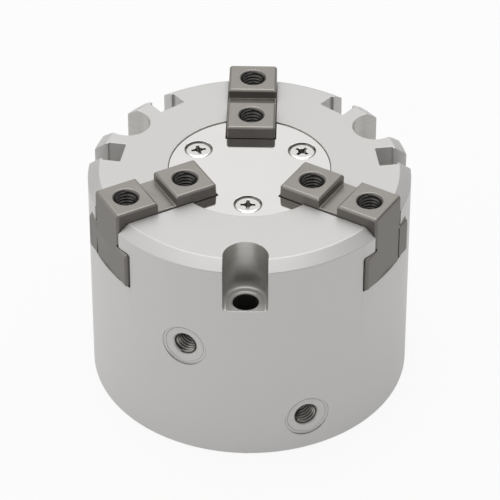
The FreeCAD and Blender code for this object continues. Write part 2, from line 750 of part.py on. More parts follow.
def piston_ring(name, base, width, section, outer):
    foot = f"{PISTON_FOOT} + {base} + ring_side_gap"
    return ring(name, f"bore_radius - {section} + seal_clearance", outer, foot, f"{foot} + {width}")


def make_piston_bolt():
    body = new_body("piston_bolt")
    foot = f"({BOLT_SEAT} - bolt_head_height)"
    profile = [
        ("0", f"{foot} + bolt_socket_depth"),
        ("bolt_socket_radius", f"{foot} + bolt_socket_depth"),
        ("bolt_socket_radius", foot),
        ("bolt_head_radius", foot),
        ("bolt_head_radius", BOLT_SEAT),
        ("bolt_radius", BOLT_SEAT),
        ("bolt_radius", BOLT_END),
        ("0", BOLT_END),
    ]
    turned(body, "bolt_turned", outline(body, "bolt_section", "XZ_Plane", profile))
    return body


def make_rod_cover():
    body = new_body("rod_cover")
    bush_hole = "(rod_radius + bush_wall_thickness)"
    bush_top = f"({SPIGOT_FOOT} + bush_height)"
    seal_top = f"({BORE_DEPTH} - rod_seal_land_height)"
    seal_foot = f"({seal_top} - rod_seal_height)"
    groove_middle = f"({BORE_DEPTH} - cover_flange_height / 2)"
    groove_floor = "bore_radius - oring_groove_depth"
    groove_foot = f"{groove_middle} - oring_groove_width / 2"
    groove_top = f"{groove_middle} + oring_groove_width / 2"
    profile = [
        (bush_hole, SPIGOT_FOOT),
        ("cover_spigot_radius", SPIGOT_FOOT),
        ("cover_spigot_radius", FLANGE_FOOT),
        (FIT_RADIUS, FLANGE_FOOT),
        (FIT_RADIUS, groove_foot),
        (groove_floor, groove_foot),
        (groove_floor, groove_top),
        (FIT_RADIUS, groove_top),
        (FIT_RADIUS, BORE_DEPTH),
        (f"{ROD_HOLE} + seal_clearance", BORE_DEPTH),
        (f"{ROD_HOLE} + seal_clearance", seal_top),
        ("rod_radius + rod_seal_width", seal_top),
        ("rod_radius + rod_seal_width", seal_foot),
        (f"{ROD_HOLE} + seal_clearance", seal_foot),
        (f"{ROD_HOLE} + seal_clearance", bush_top),
        (bush_hole, bush_top),
    ]
    turned(body, "rod_cover_turned", outline(body, "rod_cover_section", "XZ_Plane", profile))
    ring("rod_bush", ROD_HOLE, bush_hole, SPIGOT_FOOT, bush_top)
    ring("rod_seal", ROD_HOLE, "rod_radius + rod_seal_width", seal_foot, seal_top)
    pressed_ring("rod_cover_oring", groove_middle)
    return body


def make_end_cap():
    body = new_body("end_cap")
    groove_middle = f"({RING_TOP} + cap_height / 2)"
    groove_floor = "bore_radius - oring_groove_depth"
    groove_foot = f"{groove_middle} - oring_groove_width / 2"
    groove_top = f"{groove_middle} + oring_groove_width / 2"
    profile = [
        ("0", f"{RING_TOP} + cap_recess_depth"),
        ("cap_recess_radius", f"{RING_TOP} + cap_recess_depth"),
        ("cap_recess_radius", RING_TOP),
        (FIT_RADIUS, RING_TOP),
        (FIT_RADIUS, groove_foot),
        (groove_floor, groove_foot),
        (groove_floor, groove_top),
        (FIT_RADIUS, groove_top),
        (FIT_RADIUS, CAP_TOP),
        ("0", CAP_TOP),
    ]
    turned(body, "end_cap_turned", outline(body, "end_cap_section", "XZ_Plane", profile))
    pressed_ring("cap_oring", groove_middle)
    return body


def make_snap_ring():
    body = new_body("snap_ring")
    middle = "(snap_ring_radius - snap_ring_width)"
    section = [
        (middle, "snap_ring_inset_depth"),
        ("snap_ring_radius", "snap_ring_inset_depth"),
        ("snap_ring_radius", RING_TOP),
        (middle, RING_TOP),
    ]
    turned(body, "snap_ring_turned", outline(body, "snap_ring_section", "XZ_Plane", section))
    # Gap between the two ends, towards -Y
    half = "snap_ring_radius * tan(snap_ring_gap_angle * 1deg / 2)"
    gap = [("0", "0"), (half, "-snap_ring_radius - 1"), (f"-({half})", "-snap_ring_radius - 1")]
    feature(body, "Pocket", "snap_ring_gap",
            outline(body, "snap_ring_gap_section", "XY_Plane", gap, {"z": RING_TOP}),
            Length="snap_ring_thickness")
    # Lug with an eye at each end, for the pliers
    lug_circle = f"({middle} - snap_ring_lug_radius / 2)"
    lug_turn = "(snap_ring_gap_angle * 1deg / 2 + 1rad * snap_ring_lug_radius / snap_ring_radius)"
    for side, sign in (("left", "-"), ("right", "")):
        across = f"{sign}{lug_circle} * sin({lug_turn})"
        up = f"-{lug_circle} * cos({lug_turn})"
        lug = circle(body, f"snap_ring_lug_{side}_section", "XY_Plane", across, up,
                     "snap_ring_lug_radius", {"z": "snap_ring_inset_depth"})
        body.Tip = feature(body, "Pad", f"snap_ring_lug_{side}", lug, Length="snap_ring_thickness")
        eye = circle(body, f"snap_ring_eye_{side}_section", "XY_Plane", across, up,
                     "snap_ring_eye_radius", {"z": RING_TOP})
        body.Tip = feature(body, "Pocket", f"snap_ring_eye_{side}", eye, Length="snap_ring_thickness")
    return body


make_body()
make_cover_plate()
make_cover_screws()
for jaw_name, jaw_angle in JAW_ANGLES.items():
    make_jaw(jaw_name, jaw_angle)
make_wedge_cam()
make_piston()
piston_ring("piston_seal", "seal_groove_height", "seal_width", "seal_section_depth", FIT_RADIUS)
piston_ring("wear_ring", "wear_groove_height", "wear_width", "wear_section_depth", FIT_RADIUS)
piston_ring("magnet_ring", "magnet_groove_height", "magnet_width", "magnet_section_depth", PISTON_RADIUS)
ring("piston_rod", BOLT_HOLE, "rod_radius", ROD_FOOT, ROD_TOP)
make_piston_bolt()
make_rod_cover()
ring("upper_damper", "upper_damper_inner_radius", "upper_damper_outer_radius",
     f"{SPIGOT_FOOT} - damper_thickness", SPIGOT_FOOT)
ring("lower_damper", "lower_damper_inner_radius", "lower_damper_outer_radius", CAP_TOP, PISTON_FOOT)
make_end_cap()
make_snap_ring()
document.recompute()

faults = [item.Name for item in document.Objects if {"Invalid", "Error"} & set(item.State)]
pieces = [item for item in document.Objects if item.TypeId == "PartDesign::Body"]
faults += [piece.Label for piece in pieces if piece.Shape.isNull() or not piece.Shape.isValid()]
if faults:
    raise RuntimeError("These objects failed: " + ", ".join(faults))

os.makedirs("parts", exist_ok=True)
for piece in pieces:
    piece.Shape.exportStep(f"parts/{piece.Label}.step")
    print(piece.Label, len(piece.Shape.Solids), "solid", round(piece.Shape.Volume, 1), "mm3")
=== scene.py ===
import json
import math
from contextlib import contextmanager

import bmesh
import bpy
from bpy.props import FloatProperty, FloatVectorProperty, IntProperty, PointerProperty
from bpy.types import Operator, Panel, PropertyGroup
from mathutils import Matrix, Vector


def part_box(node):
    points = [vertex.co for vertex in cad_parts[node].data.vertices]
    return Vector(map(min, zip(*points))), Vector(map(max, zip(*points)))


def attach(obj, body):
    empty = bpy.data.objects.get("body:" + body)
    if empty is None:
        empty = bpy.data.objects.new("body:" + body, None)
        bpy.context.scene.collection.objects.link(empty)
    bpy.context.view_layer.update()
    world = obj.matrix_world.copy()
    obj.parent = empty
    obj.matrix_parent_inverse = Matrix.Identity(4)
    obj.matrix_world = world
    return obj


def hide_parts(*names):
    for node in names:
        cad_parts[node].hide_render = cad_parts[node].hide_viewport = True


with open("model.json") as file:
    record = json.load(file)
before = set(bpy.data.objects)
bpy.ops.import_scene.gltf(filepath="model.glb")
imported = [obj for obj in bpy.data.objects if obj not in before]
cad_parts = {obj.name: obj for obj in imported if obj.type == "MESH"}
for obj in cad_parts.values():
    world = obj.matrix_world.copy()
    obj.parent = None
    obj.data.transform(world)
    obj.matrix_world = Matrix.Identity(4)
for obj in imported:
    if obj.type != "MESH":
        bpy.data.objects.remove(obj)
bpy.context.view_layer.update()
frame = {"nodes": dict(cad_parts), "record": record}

bl_info = {
    "name": "Three jaw centric gripper",
    "version": (1, 0, 0),
    "blender": (4, 5, 0),
    "location": "View3D > Sidebar > Gripper",
    "description": "Dresses a pneumatic three jaw gripper: housing, jaws, threads, screws and finishes",
    "category": "Object",
}

MM = 0.001
NODES = frame["nodes"]
MOUNTS = {mount["name"]: mount for mount in frame["record"]["mounts"]}
JAWS = {"back_jaw": "back_finger", "left_jaw": "left_finger", "right_jaw": "right_finger"}
JAW_ANGLES = {
    name: math.atan2(MOUNTS[f"{name}_outer_thread"]["pos_m"][1], MOUNTS[f"{name}_outer_thread"]["pos_m"][0])
    for name in JAWS
}
SCALLOP_ANGLES = [angle + math.pi for angle in JAW_ANGLES.values()]
PORTS = ("close_port", "open_port")


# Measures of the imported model

def low(node):
    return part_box(node)[0]


def high(node):
    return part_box(node)[1]


BODY_RADIUS = high("body").x
BODY_HEIGHT = high("body").z
BORE_TOP = high("rod_cover").z
JAW_TOP = high("back_jaw").z
JAW_FOOT = low("back_jaw").z
JAW_OUTER = high("back_jaw").y
FLANGE_HALF = high("back_jaw").x
CAM_TOP = high("wedge_cam").z
CAM_FOOT_RADIUS = high("wedge_cam").y
PLATE_RADIUS = high("cover_plate").x
PLATE_TOP = high("cover_plate").z
PLATE_FOOT = low("cover_plate").z
SCREW_TOP = high("cover_screws").z
SCREW_FOOT = low("cover_screws").z
MOUNT_CIRCLE = MOUNTS["mount_holes"]["dims"]["pcd_mm"] * MM / 2
MOUNT_HOLE = MOUNTS["mount_holes"]["dims"]["hole_r_mm"] * MM
THREAD_RADIUS = MOUNTS["back_jaw_inner_thread"]["dims"]["r_mm"] * MM
INNER_THREAD = MOUNTS["back_jaw_inner_thread"]["pos_m"][1]
OUTER_THREAD = MOUNTS["back_jaw_outer_thread"]["pos_m"][1]
SNAP_RING_RADIUS = high("snap_ring").x
SPARE = 2 * MM  # how far a cutter stands out past what it cuts
NEAR = 0.02 * MM  # how near counts as touching
SAME = 1e-7  # two corners of a mesh that are this near are one
STEP = 0.3 * MM  # how much further in each band of a jaw's tongue starts and ends
BORE_GAP = 0.05 * MM  # between piston seal and bore
RING_GAP = 0.2 * MM  # round the snap ring
TAP_SPARE = 1.2 * MM  # free depth below a cover screw
PASSAGE_START = 24 * MM  # radius at which the air passages start
SHANK_GAP = 0.15 * MM  # round a cover screw's shank
HEAD_GAP = 0.12 * MM  # round a cover screw's head
PLATE_BREAK = 0.06 * MM  # edge break of the cover plate
SCREW_BREAK = 0.05 * MM  # edge break of the cover screws
RECESS_DEPTH = 1.3 * MM
RECESS_OVER = 0.2 * MM  # how far the recess cutters stand out above the head
STRIP = 0.7  # a face narrower than this share of an edge break is a strip of an edge
LEVEL = 0.9999  # a face with this much of Z in its normal is level
SHARP = math.radians(30)
HOLE_SIDES = 64


def length(name, millimetres, description):
    return FloatProperty(name=name, description=description, default=millimetres * MM, unit="LENGTH")


def colour(name, tone, description):
    return FloatVectorProperty(name=name, description=description, default=tone, subtype="COLOR",
                               size=3, min=0, max=1)


class GripperSizes(PropertyGroup):
    """Lengths of the visible details, as on the real gripper"""
    rim_width: length("Rim chamfer width", 2.5, "Radial width of the rim chamfer")
    rim_drop: length("Rim chamfer drop", 1.9, "Height of the rim chamfer")
    base_chamfer: length("Base chamfer", 0.5, "Chamfer round the base")
    edge_break: length("Edge break", 0.14, "Width of the deburred edges")
    mouth_chamfer: length("Slot mouth chamfer", 0.32, "Chamfer where a jaw's slot opens in the side")
    slot_gap: length("Slot gap", 0.08, "Sliding gap between a jaw and its slot")
    slot_corner: length("Slot corner", 0.3, "Chamfer in the upper corners of a jaw's slot")
    bore_chamfer: length("Bore chamfer", 0.4, "Chamfer at the mouth of the cylinder bore")
    scallop_radius: length("Scallop radius", 4.8, "Radius of the screw scallops")
    scallop_depth: length("Scallop depth", 12, "Depth of the screw scallops")
    scallop_fillet: length("Scallop fillet", 0.7, "Fillet between a scallop's wall and its floor")
    hole_chamfer: length("Hole chamfer", 0.4, "Chamfer at the ends of the mounting holes")
    groove_angle: FloatProperty(name="Sensor groove angle", subtype="ANGLE", default=math.radians(21),
                                description="Angle between a rear scallop and the grooves beside it")
    groove_width: length("Sensor groove width", 6.3, "Width behind the lips")
    groove_mouth: length("Sensor groove mouth", 5.3, "Width between the lips")
    groove_floor: length("Sensor groove floor", 28, "Radius of the groove's floor")
    groove_lip: length("Sensor groove lip", 3.1, "Thickness of the groove's lips")
    port_face_radius: length("Port face radius", 5, "Radius of a port's spot face")
    port_face_depth: length("Port face depth", 0.7, "Depth of a port's spot face")
    port_depth: length("Port depth", 6.2, "Depth of a port's thread")
    port_ring_radius: length("Port ring radius", 4.4, "Inner radius of the raised ring round a port's face")
    port_ring_height: length("Port ring height", 0.15, "Height of the raised ring round a port's face")
    port_sink: length("Port countersink", 0.4, "Countersink of a port's thread")
    passage_radius: length("Passage radius", 1, "Radius of the air passages")
    neck_width: length("Jaw neck width", 10.6, "Width of a jaw above its flange")
    pad_start: length("Pad start", 10.76, "Distance of the pads from the gripper's axis")
    ledge_start: length("Ledge start", 5, "Distance of a jaw's ledge from the gripper's axis")
    ledge_gap: length("Ledge gap", 0.2, "Gap between a jaw's ledge and the cover plate")
    outer_pad: length("Outer pad", 9.79, "Length of a jaw's outer pad")
    cross_groove: length("Cross groove", 4.35, "Width of the groove between a jaw's pads")
    cross_groove_depth: length("Cross groove depth", 2.2, "Depth of the groove between the pads")
    flange_height: length("Flange height", 8.55, "Height of the flange in its slot")
    flange_chamfer: length("Flange chamfer", 0.4, "Chamfer round the flange")
    relief_radius: length("Relief radius", 0.4, "Radius of the reliefs between neck and flange")
    jaw_depth: length("Jaw thread depth", 9, "Depth of the jaws' threads")
    jaw_sink: length("Jaw countersink", 0.42, "Countersink of the jaws' threads")
    jaw_chamfer: length("Jaw chamfer", 0.45, "Chamfer round the jaws' pads")
    cam_top_radius: length("Cam top radius", 7.5, "Radius of the cam's arms at their top")
    cam_arm_width: length("Cam arm width", 10.2, "Width of the cam's arms")
    cam_clearance: length("Cam clearance", 0.5, "Gap between the cam and its pocket")
    wedge_gap: length("Wedge gap", 0.14, "Gap between the cam's and the jaws' inclined faces")
    tongue_neck: length("Tongue neck", 3.6, "Width of the neck of a jaw's tongue")
    tongue_head: length("Tongue head", 6.8, "Width of the head of a jaw's tongue")
    tongue_step: length("Tongue step", 2.26, "Depth of the cam's slots, neck and head alike")
    tongue_gap: length("Tongue gap", 0.1, "Gap round a jaw's tongue")
    thread_pitch: length("Thread pitch", 0.8, "Pitch of the M5 threads")
    seat_gap: length("Seat gap", 0.08, "Gap round the cover plate")
    notch_gap: length("Notch gap", 0.22, "Gap between the cover plate and a jaw")
    screw_radius: length("Screw head radius", 2.95, "Radius of the cover screws' heads")
    screw_shank: length("Screw shank", 1.5, "Radius of the cover screws' shanks")
    screw_head: length("Screw head", 1.3, "Depth of the cover screws' heads")
    turned_sides: IntProperty(name="Turned sides", description="Sides of the large turned surfaces",
                              default=240, min=48)


class GripperColours(PropertyGroup):
    """Colours of the finishes"""
    anodised: colour("Anodised aluminium", (0.635, 0.628, 0.615), "Bead-blasted housing")
    # Milled tone of the housing's cuts: its own finish, set darker than the skin as partly painted shade.
    milled: colour("Milled aluminium", (0.50, 0.49, 0.46), "Cut walls of the housing")
    jaw_steel: colour("Jaw steel", (0.345, 0.325, 0.30), "Ground tops of the jaws")
    # Jaw side tone: darkens the jaws' steep faces and holes as painted shade.
    jaw_side: colour("Jaw side", (0.18, 0.17, 0.158), "Hardened sides of the jaws")
    plate: colour("Polished plate", (0.86, 0.85, 0.835), "Polished cover plate")
    # Thread tone: dark, as painted shade inside the jaws' threaded holes.
    thread: colour("Thread", (0.16, 0.155, 0.15), "Oiled threads of the jaws")


def gripper_sizes():
    """Sizes as the scene holds them."""
    return bpy.context.scene.gripper_sizes


# Node maths written as Python expressions

def plug(tree, socket, value):
    """Link a Sock to a node's socket, or set the socket to a plain value."""
    if isinstance(value, Sock):
        tree.links.new(value.socket, socket)
    else:
        socket.default_value = value


class Sock:
    """A node socket that can be used in an expression."""

    def __init__(self, tree, socket):
        self.tree = tree
        self.socket = socket

    def node(self, kind, inputs=(), out=0, **settings):
        """Add a node, apply its settings, then feed its sockets with values or links."""
        made = self.tree.nodes.new(kind)
        for key, value in settings.items():
            setattr(made, key, value)
        pairs = inputs.items() if isinstance(inputs, dict) else enumerate(inputs)
        for key, value in pairs:
            plug(self.tree, made.inputs[key], value)
        return Sock(self.tree, made.outputs[out])

    def maths(self, operation, first, second):
        return self.node("ShaderNodeMath", (first, second), operation=operation)

    def __add__(self, other):
        return self.maths("ADD", self, other)

    def __sub__(self, other):
        return self.maths("SUBTRACT", self, other)

    def __rsub__(self, other):
        return self.maths("SUBTRACT", other, self)

    def __mul__(self, other):
        return self.maths("MULTIPLY", self, other)

    def __truediv__(self, other):
        return self.maths("DIVIDE", self, other)

    __radd__ = __add__
    __rmul__ = __mul__

    def at_most(self, other):
        return self.maths("MINIMUM", self, other)

    def clamp(self):
        return self.node("ShaderNodeClamp", (self,))

    def noise(self, scale, detail, stretch=None):
        """Noise of a given scale; stretch gives its scale along X, Y and Z."""
        place = self
        if stretch:
            place = self.node("ShaderNodeMapping", {"Vector": self, "Scale": stretch})
        return self.node("ShaderNodeTexNoise", {"Vector": place, "Scale": scale, "Detail": detail})

    def mark(self, name):
        """Value of a face attribute that mark_faces wrote."""
        return self.node("ShaderNodeAttribute", out=2, attribute_name=name)

    def mix(self, first, second):
        """Colour that goes from first to second as this value goes from 0 to 1."""
        return self.node("ShaderNodeMix", {0: self, 6: first, 7: second}, 2, data_type="RGBA")

    def bump(self, strength, millimetres):
        return self.node("ShaderNodeBump", {
            "Height": self, "Strength": strength, "Distance": millimetres * MM})


def rgba(tone, scale=1.0):
    return (*(min(1.0, scale * value) for value in tone), 1.0)


def blasted_aluminium(place, outside, milled):
    """Bead-blasted, clear anodised aluminium with milled cuts: fine pits, slow mottling, edges lighter from
    wear and a painted highlight, and painted shade in the cuts and recesses.
    """
    cut = place.mark("cut")
    edge = place.mark("edge")
    mottle = place.noise(45, 4)
    pits = place.noise(5200, 2)
    rubs = place.noise(260, 3, (1, 1, 0.12))
    passes = place.noise(1, 2, (90, 90, 2600))
    # Edge strips are lighter: partly rubbed wear, partly a painted highlight.
    blasted = ((mottle - 0.5) * 0.10 + (rubs - 0.5) * 0.05 + (pits - 0.5) * 0.12 + edge * 0.35 + 0.5).clamp()
    machined = ((passes - 0.5) * 0.7 + (mottle - 0.5) * 0.3 + 0.5).clamp()
    skin = blasted.mix(rgba(outside, 0.9), rgba(outside, 1.1))
    wall = machined.mix(rgba(milled, 0.72), rgba(milled, 1.3))
    texture = pits * (1 - cut) * 0.6 + passes * cut
    # Base colour: painted shade in recesses, darkened towards a near-black milled tone; the cuts' darker
    # milled tone is partly painted shade too.
    return {"Base Color": (place.mark("painted_shade") * 0.65).mix(cut.mix(skin, wall), rgba(milled, 0.06)),
            "Metallic": cut * 0.3 + 0.58,
            "Roughness": mottle * 0.10 + 0.39 - cut * 0.14 - edge * 0.08,
            "Normal": texture.bump(0.12, 0.04)}


def ground_steel(place, top, side, along):
    """Ground tops, and steep faces and holes darkened as painted shade: fine lines along one way, faint
    stains, small dark specks.
    """
    cut = place.mark("cut")
    lines = place.noise(1, 3, tuple(60 if part else 3200 for part in along))
    stains = place.noise(160, 5)
    specks = place.noise(2400, 2)
    shade = ((lines - 0.5) * 0.30 + (stains - 0.5) * 0.45 + (specks - 0.5) * 0.25 + 0.5).clamp()
    ground = shade.mix(rgba(top, 0.82), rgba(top, 1.18))
    # Edge strips of the sides are lighter: partly rubbed wear, partly a painted highlight.
    flank = (shade + place.mark("edge") * 0.6).clamp().mix(rgba(side, 0.8), rgba(side, 1.25))
    return {"Base Color": cut.mix(ground, flank), "Metallic": 0.85,
            "Roughness": stains * 0.14 + 0.27 + cut * 0.04, "Normal": lines.bump(0.12, 0.03)}


def polished_steel(place, tone, rough=0.07):
    """Polished sheet: nearly a mirror, with faint buffing lines, a slight haze and painted shade in its
    recesses.
    """
    haze = place.noise(90, 3)
    buff = place.noise(1, 2, (60, 1800, 60))
    clean = haze.mix(rgba(tone, 0.97), rgba(tone, 1.03))
    # Painted shade: marked faces go towards a dark brown.
    return {"Base Color": (place.mark("painted_shade") * 0.8).mix(clean, (0.06, 0.045, 0.035, 1)), "Metallic": 1.0,
            "Roughness": haze * 0.06 + (rough - 0.03), "Normal": buff.bump(0.02, 0.02)}


def threaded(place, tone):
    """Cut thread: a painted highlight on the crests, painted shade in the roots, and a little grain."""
    grain = place.noise(1500, 2)
    shade = (place.mark("crest") + (grain - 0.5) * 0.3).clamp()
    return {"Base Color": (shade * shade).mix(rgba(tone, 0.08), rgba(tone, 1.3)), "Metallic": 0.9,
            "Roughness": grain * 0.1 + 0.25, "Normal": grain.bump(0.1, 0.03)}


def plain_finish(place, tone, rough, metallic):
    """Moulded or machined inner piece: slight tone and roughness changes over fine grain."""
    cloud = place.noise(120, 4)
    fine = place.noise(800, 2)
    shade = ((cloud - 0.5) * 0.4 + (fine - 0.5) * 0.3 + 0.5).clamp()
    return {"Base Color": shade.mix(rgba(tone, 0.82), rgba(tone, 1.18)), "Metallic": metallic,
            "Roughness": cloud * 0.12 + (rough - 0.06), "Normal": fine.bump(0.12, 0.04)}


MATERIALS = {}


def finish(name):
    """Material by name, made once, with its look laid out in Object coordinates."""
    if name in MATERIALS:
        return MATERIALS[name]
    tones = bpy.context.scene.gripper_colours
    looks = {
        "anodised": (blasted_aluminium, tones.anodised, tones.milled),
        "port_thread": (threaded, tones.milled),
        "jaw_steel_x": (ground_steel, tones.jaw_steel, tones.jaw_side, (1, 0, 0)),
        "jaw_steel_y": (ground_steel, tones.jaw_steel, tones.jaw_side, (0, 1, 0)),
        "thread_steel": (threaded, tones.thread),
        "polished": (polished_steel, tones.plate),
        "bright": (polished_steel, (0.82, 0.81, 0.79), 0.12),
        "machined": (plain_finish, (0.62, 0.62, 0.61), 0.30, 0.9),
        "chrome_rod": (polished_steel, (0.72, 0.72, 0.73), 0.10),
        "phosphated": (plain_finish, (0.05, 0.05, 0.052), 0.5, 0.6),
        "bronze": (plain_finish, (0.50, 0.31, 0.12), 0.4, 0.9),
        "rubber": (plain_finish, (0.022, 0.022, 0.023), 0.55, 0.0),
        "guide": (plain_finish, (0.24, 0.15, 0.08), 0.5, 0.0),
        "magnet": (plain_finish, (0.05, 0.045, 0.045), 0.6, 0.0),
    }
    look, *values = looks[name]
    material = bpy.data.materials.new(name)
    material.use_nodes = True
    tree = material.node_tree
    shader = next(node for node in tree.nodes if node.type == "BSDF_PRINCIPLED")
    place = Sock(tree, tree.nodes.new("ShaderNodeTexCoord").outputs["Object"])
    for socket, value in look(place, *values).items():
        plug(tree, shader.inputs[socket], value)
    MATERIALS[name] = material
    return material


# Mesh building

@contextmanager
def edited(mesh):
    """Editable copy of a mesh, which is written back at the end."""
    shape = bmesh.new()
    shape.from_mesh(mesh)
    yield shape
    shape.to_mesh(mesh)
    shape.free()


def new_object(name, maker, *values, closed=True):
    """Object at the origin whose mesh a maker fills; a closed one is merged and faces outwards."""
    mesh = bpy.data.meshes.new(name)
    with edited(mesh) as shape:
        maker(shape, *values)
        if closed:
            bmesh.ops.remove_doubles(shape, verts=shape.verts, dist=SAME)
            bmesh.ops.recalc_face_normals(shape, faces=shape.faces)
        else:
            shape.normal_update()
    made = bpy.data.objects.new(name, mesh)
    bpy.context.scene.collection.objects.link(made)
    return made


def join_rings(shape, ring, following):
    """Faces between two rings of equal count; corners that fall together are dropped."""
    for i, corner in enumerate(ring):
        after = (i + 1) % len(ring)
        corners = dict.fromkeys((corner, ring[after], following[after], following[i]))
        if len(corners) > 2:
            shape.faces.new(corners)


def lathe(shape, profile, sides, matrix=Matrix.Identity(4)):
    """Turn a closed profile of (radius, height) points about the matrix's Z."""
    turns = [2 * math.pi * side / sides for side in range(sides)]
    rings = []
    for radius, height in profile:
        if radius == 0:
            rings.append([shape.verts.new(matrix @ Vector((0, 0, height)))] * sides)
        else:
            corners = [(radius * math.cos(turn), radius * math.sin(turn), height) for turn in turns]
            rings.append([shape.verts.new(matrix @ Vector(corner)) for corner in corners])
    for ring, following in zip(rings, rings[1:] + rings[:1]):
        join_rings(shape, ring, following)


def loft(shape, levels, matrix):
    """Solid through outlines of equal count, each given with its depth in the matrix's frame."""
    rings = [[shape.verts.new(matrix @ Vector((x, y, depth))) for x, y in outline]
             for outline, depth in levels]
    shape.faces.new(rings[0][::-1])
    shape.faces.new(rings[-1])
    for ring, following in zip(rings, rings[1:]):
        join_rings(shape, ring, following)


def prism(shape, outline, start, end, matrix):
    loft(shape, [(outline, start), (outline, end)], matrix)


def rectangle(left, right, foot, top):
    return [(left, foot), (right, foot), (right, top), (left, top)]


def mirrored(right):
    """Whole outline from its right half."""
    return right + [(-across, up) for across, up in reversed(right)]


def apply_modifiers(thing):
    """Swap the mesh for its evaluated copy, and drop the modifiers."""
    graph = bpy.context.evaluated_depsgraph_get()
    mesh = bpy.data.meshes.new_from_object(thing.evaluated_get(graph))
    old = thing.data
    thing.modifiers.clear()
    thing.data = mesh
    bpy.data.meshes.remove(old)


def carve(thing, cutters, operation="DIFFERENCE"):
    """Boolean with each cutter in turn; the cutters are removed afterwards."""
    for cutter in cutters:
        modifier = thing.modifiers.new("carve", "BOOLEAN")
        modifier.operation = operation
        modifier.solver = "EXACT"
        modifier.object = cutter
        apply_modifiers(thing)
        bpy.data.objects.remove(cutter)


def break_edges(thing, width, wide=0.0, is_wide=None):
    """Rounded bevel on the sharp edges, wide on those whose two ends pass a test."""
    largest = max(width, wide)
    with edited(thing.data) as shape:
        weight = shape.edges.layers.float.new("bevel_weight_edge")
        for edge in shape.edges:
            if len(edge.link_faces) == 2 and edge.calc_face_angle(0) > SHARP:
                chosen = is_wide and all(is_wide(vert.co) for vert in edge.verts)
                edge[weight] = (wide if chosen else width) / largest
    bevel = thing.modifiers.new("edges", "BEVEL")
    bevel.limit_method = "WEIGHT"
    bevel.width = largest
    bevel.segments = 2
    bevel.use_clamp_overlap = False
    bevel.miter_outer = "MITER_ARC"
    apply_modifiers(thing)
    shade(thing)


def shade(thing):
    """Smooth shading that breaks at sharp edges, with level and large faces kept flat."""
    mesh = thing.data
    mesh.shade_smooth()
    mesh.set_sharp_from_angle(angle=SHARP)
    for face in mesh.polygons:
        if abs(face.normal.z) > LEVEL:
            for loop in face.loop_indices:
                mesh.edges[mesh.loops[loop].edge_index].use_edge_sharp = True
    normals = thing.modifiers.new("normals", "WEIGHTED_NORMAL")
    normals.keep_sharp = True
    normals.weight = 90
    apply_modifiers(thing)


def mark_faces(thing, cut_and_shade_at, strip):
    """Write on each face how far it is a cut, how much painted shade it gets, and whether it is a narrow
    strip of an edge.
    """
    mesh = thing.data
    cut, painted_shade, edge = (mesh.attributes.new(name, "FLOAT", "FACE") for name in ("cut", "painted_shade", "edge"))
    for face in mesh.polygons:
        cut.data[face.index].value, painted_shade.data[face.index].value = cut_and_shade_at(face)
        corners = [mesh.vertices[index].co for index in face.vertices]
        longest = max((first - second).length for first, second in zip(corners, corners[1:] + corners[:1]))
        level = abs(face.normal.z) > LEVEL
        on_side = abs(face.center.xy.length - BODY_RADIUS) < NEAR / 2
        is_strip = face.area < strip * longest and not level and not on_side
        edge.data[face.index].value = float(is_strip)


def dress(thing, material, body, slot, *replaced):
    """Give a finished piece its material and body; the slot argument is not used."""
    thing.data.materials.clear()
    thing.data.materials.append(finish(material))
    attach(thing, body)
    if replaced:
        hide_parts(*replaced)
    return thing


def turn_z(angle):
    return Matrix.Rotation(angle, 4, "Z")


def along(angle, reach):
    """Frame at a distance from the gripper's axis, with X outwards and Z up."""
    return turn_z(angle) @ Matrix.Translation((reach, 0, 0))


# Outline outwards and up, depth across
ON_SIDE = Matrix(((1, 0, 0, 0), (0, 0, -1, 0), (0, 1, 0, 0), (0, 0, 0, 1)))
# Outline across and up, depth outwards
OUTWARDS = Matrix(((0, 0, 1, 0), (1, 0, 0, 0), (0, 1, 0, 0), (0, 0, 0, 1)))


# Housing

def housing_blank(shape):
    """Turned blank with the plate's seat, the cam's pocket, the bore and the snap ring's groove."""
    sizes = gripper_sizes()
    bore = high("piston_seal").x + BORE_GAP
    pocket = math.hypot(CAM_FOOT_RADIUS, sizes.cam_arm_width / 2) + sizes.cam_clearance
    floor = JAW_FOOT - sizes.slot_gap
    ring_groove = SNAP_RING_RADIUS + RING_GAP
    seat = PLATE_RADIUS + sizes.seat_gap
    lathe(shape, [
        (bore + sizes.bore_chamfer, 0),
        (BODY_RADIUS - sizes.base_chamfer, 0),
        (BODY_RADIUS, sizes.base_chamfer),
        (BODY_RADIUS, BODY_HEIGHT - sizes.rim_drop),
        (BODY_RADIUS - sizes.rim_width, BODY_HEIGHT),
        (seat, BODY_HEIGHT),
        (seat, PLATE_FOOT),
        (0, PLATE_FOOT),
        (0, floor),
        (pocket, floor),
        (pocket, BORE_TOP),
        (bore, BORE_TOP),
        (bore, high("snap_ring").z),
        (ring_groove, high("snap_ring").z),
        (ring_groove, low("snap_ring").z),
        (bore, low("snap_ring").z),
        (bore, sizes.bore_chamfer),
    ], sizes.turned_sides)


def slot_cutters():
    """T-slot of each jaw, with chamfered upper corners."""
    sizes = gripper_sizes()
    half = FLANGE_HALF + sizes.slot_gap
    throat = sizes.neck_width / 2 + sizes.slot_gap
    roof = JAW_FOOT + sizes.flange_height + sizes.slot_gap
    outline = mirrored([
        (half, JAW_FOOT - sizes.slot_gap), (half, roof - sizes.slot_corner),
        (half - sizes.slot_corner, roof), (throat, roof), (throat, JAW_TOP)])
    return [new_object("slot_cutter", prism, outline, 0, BODY_RADIUS + SPARE, turn_z(angle) @ OUTWARDS)
            for angle in JAW_ANGLES.values()]


def scallop_outline(radius):
    """Half round towards the axis, with straight sides that run out through the rim."""
    turns = [math.pi / 2 + math.pi * step / 40 for step in range(41)]
    arc = [(MOUNT_CIRCLE + radius * math.cos(turn), radius * math.sin(turn)) for turn in turns]
    return arc + [(BODY_RADIUS + SPARE, -radius), (BODY_RADIUS + SPARE, radius)]


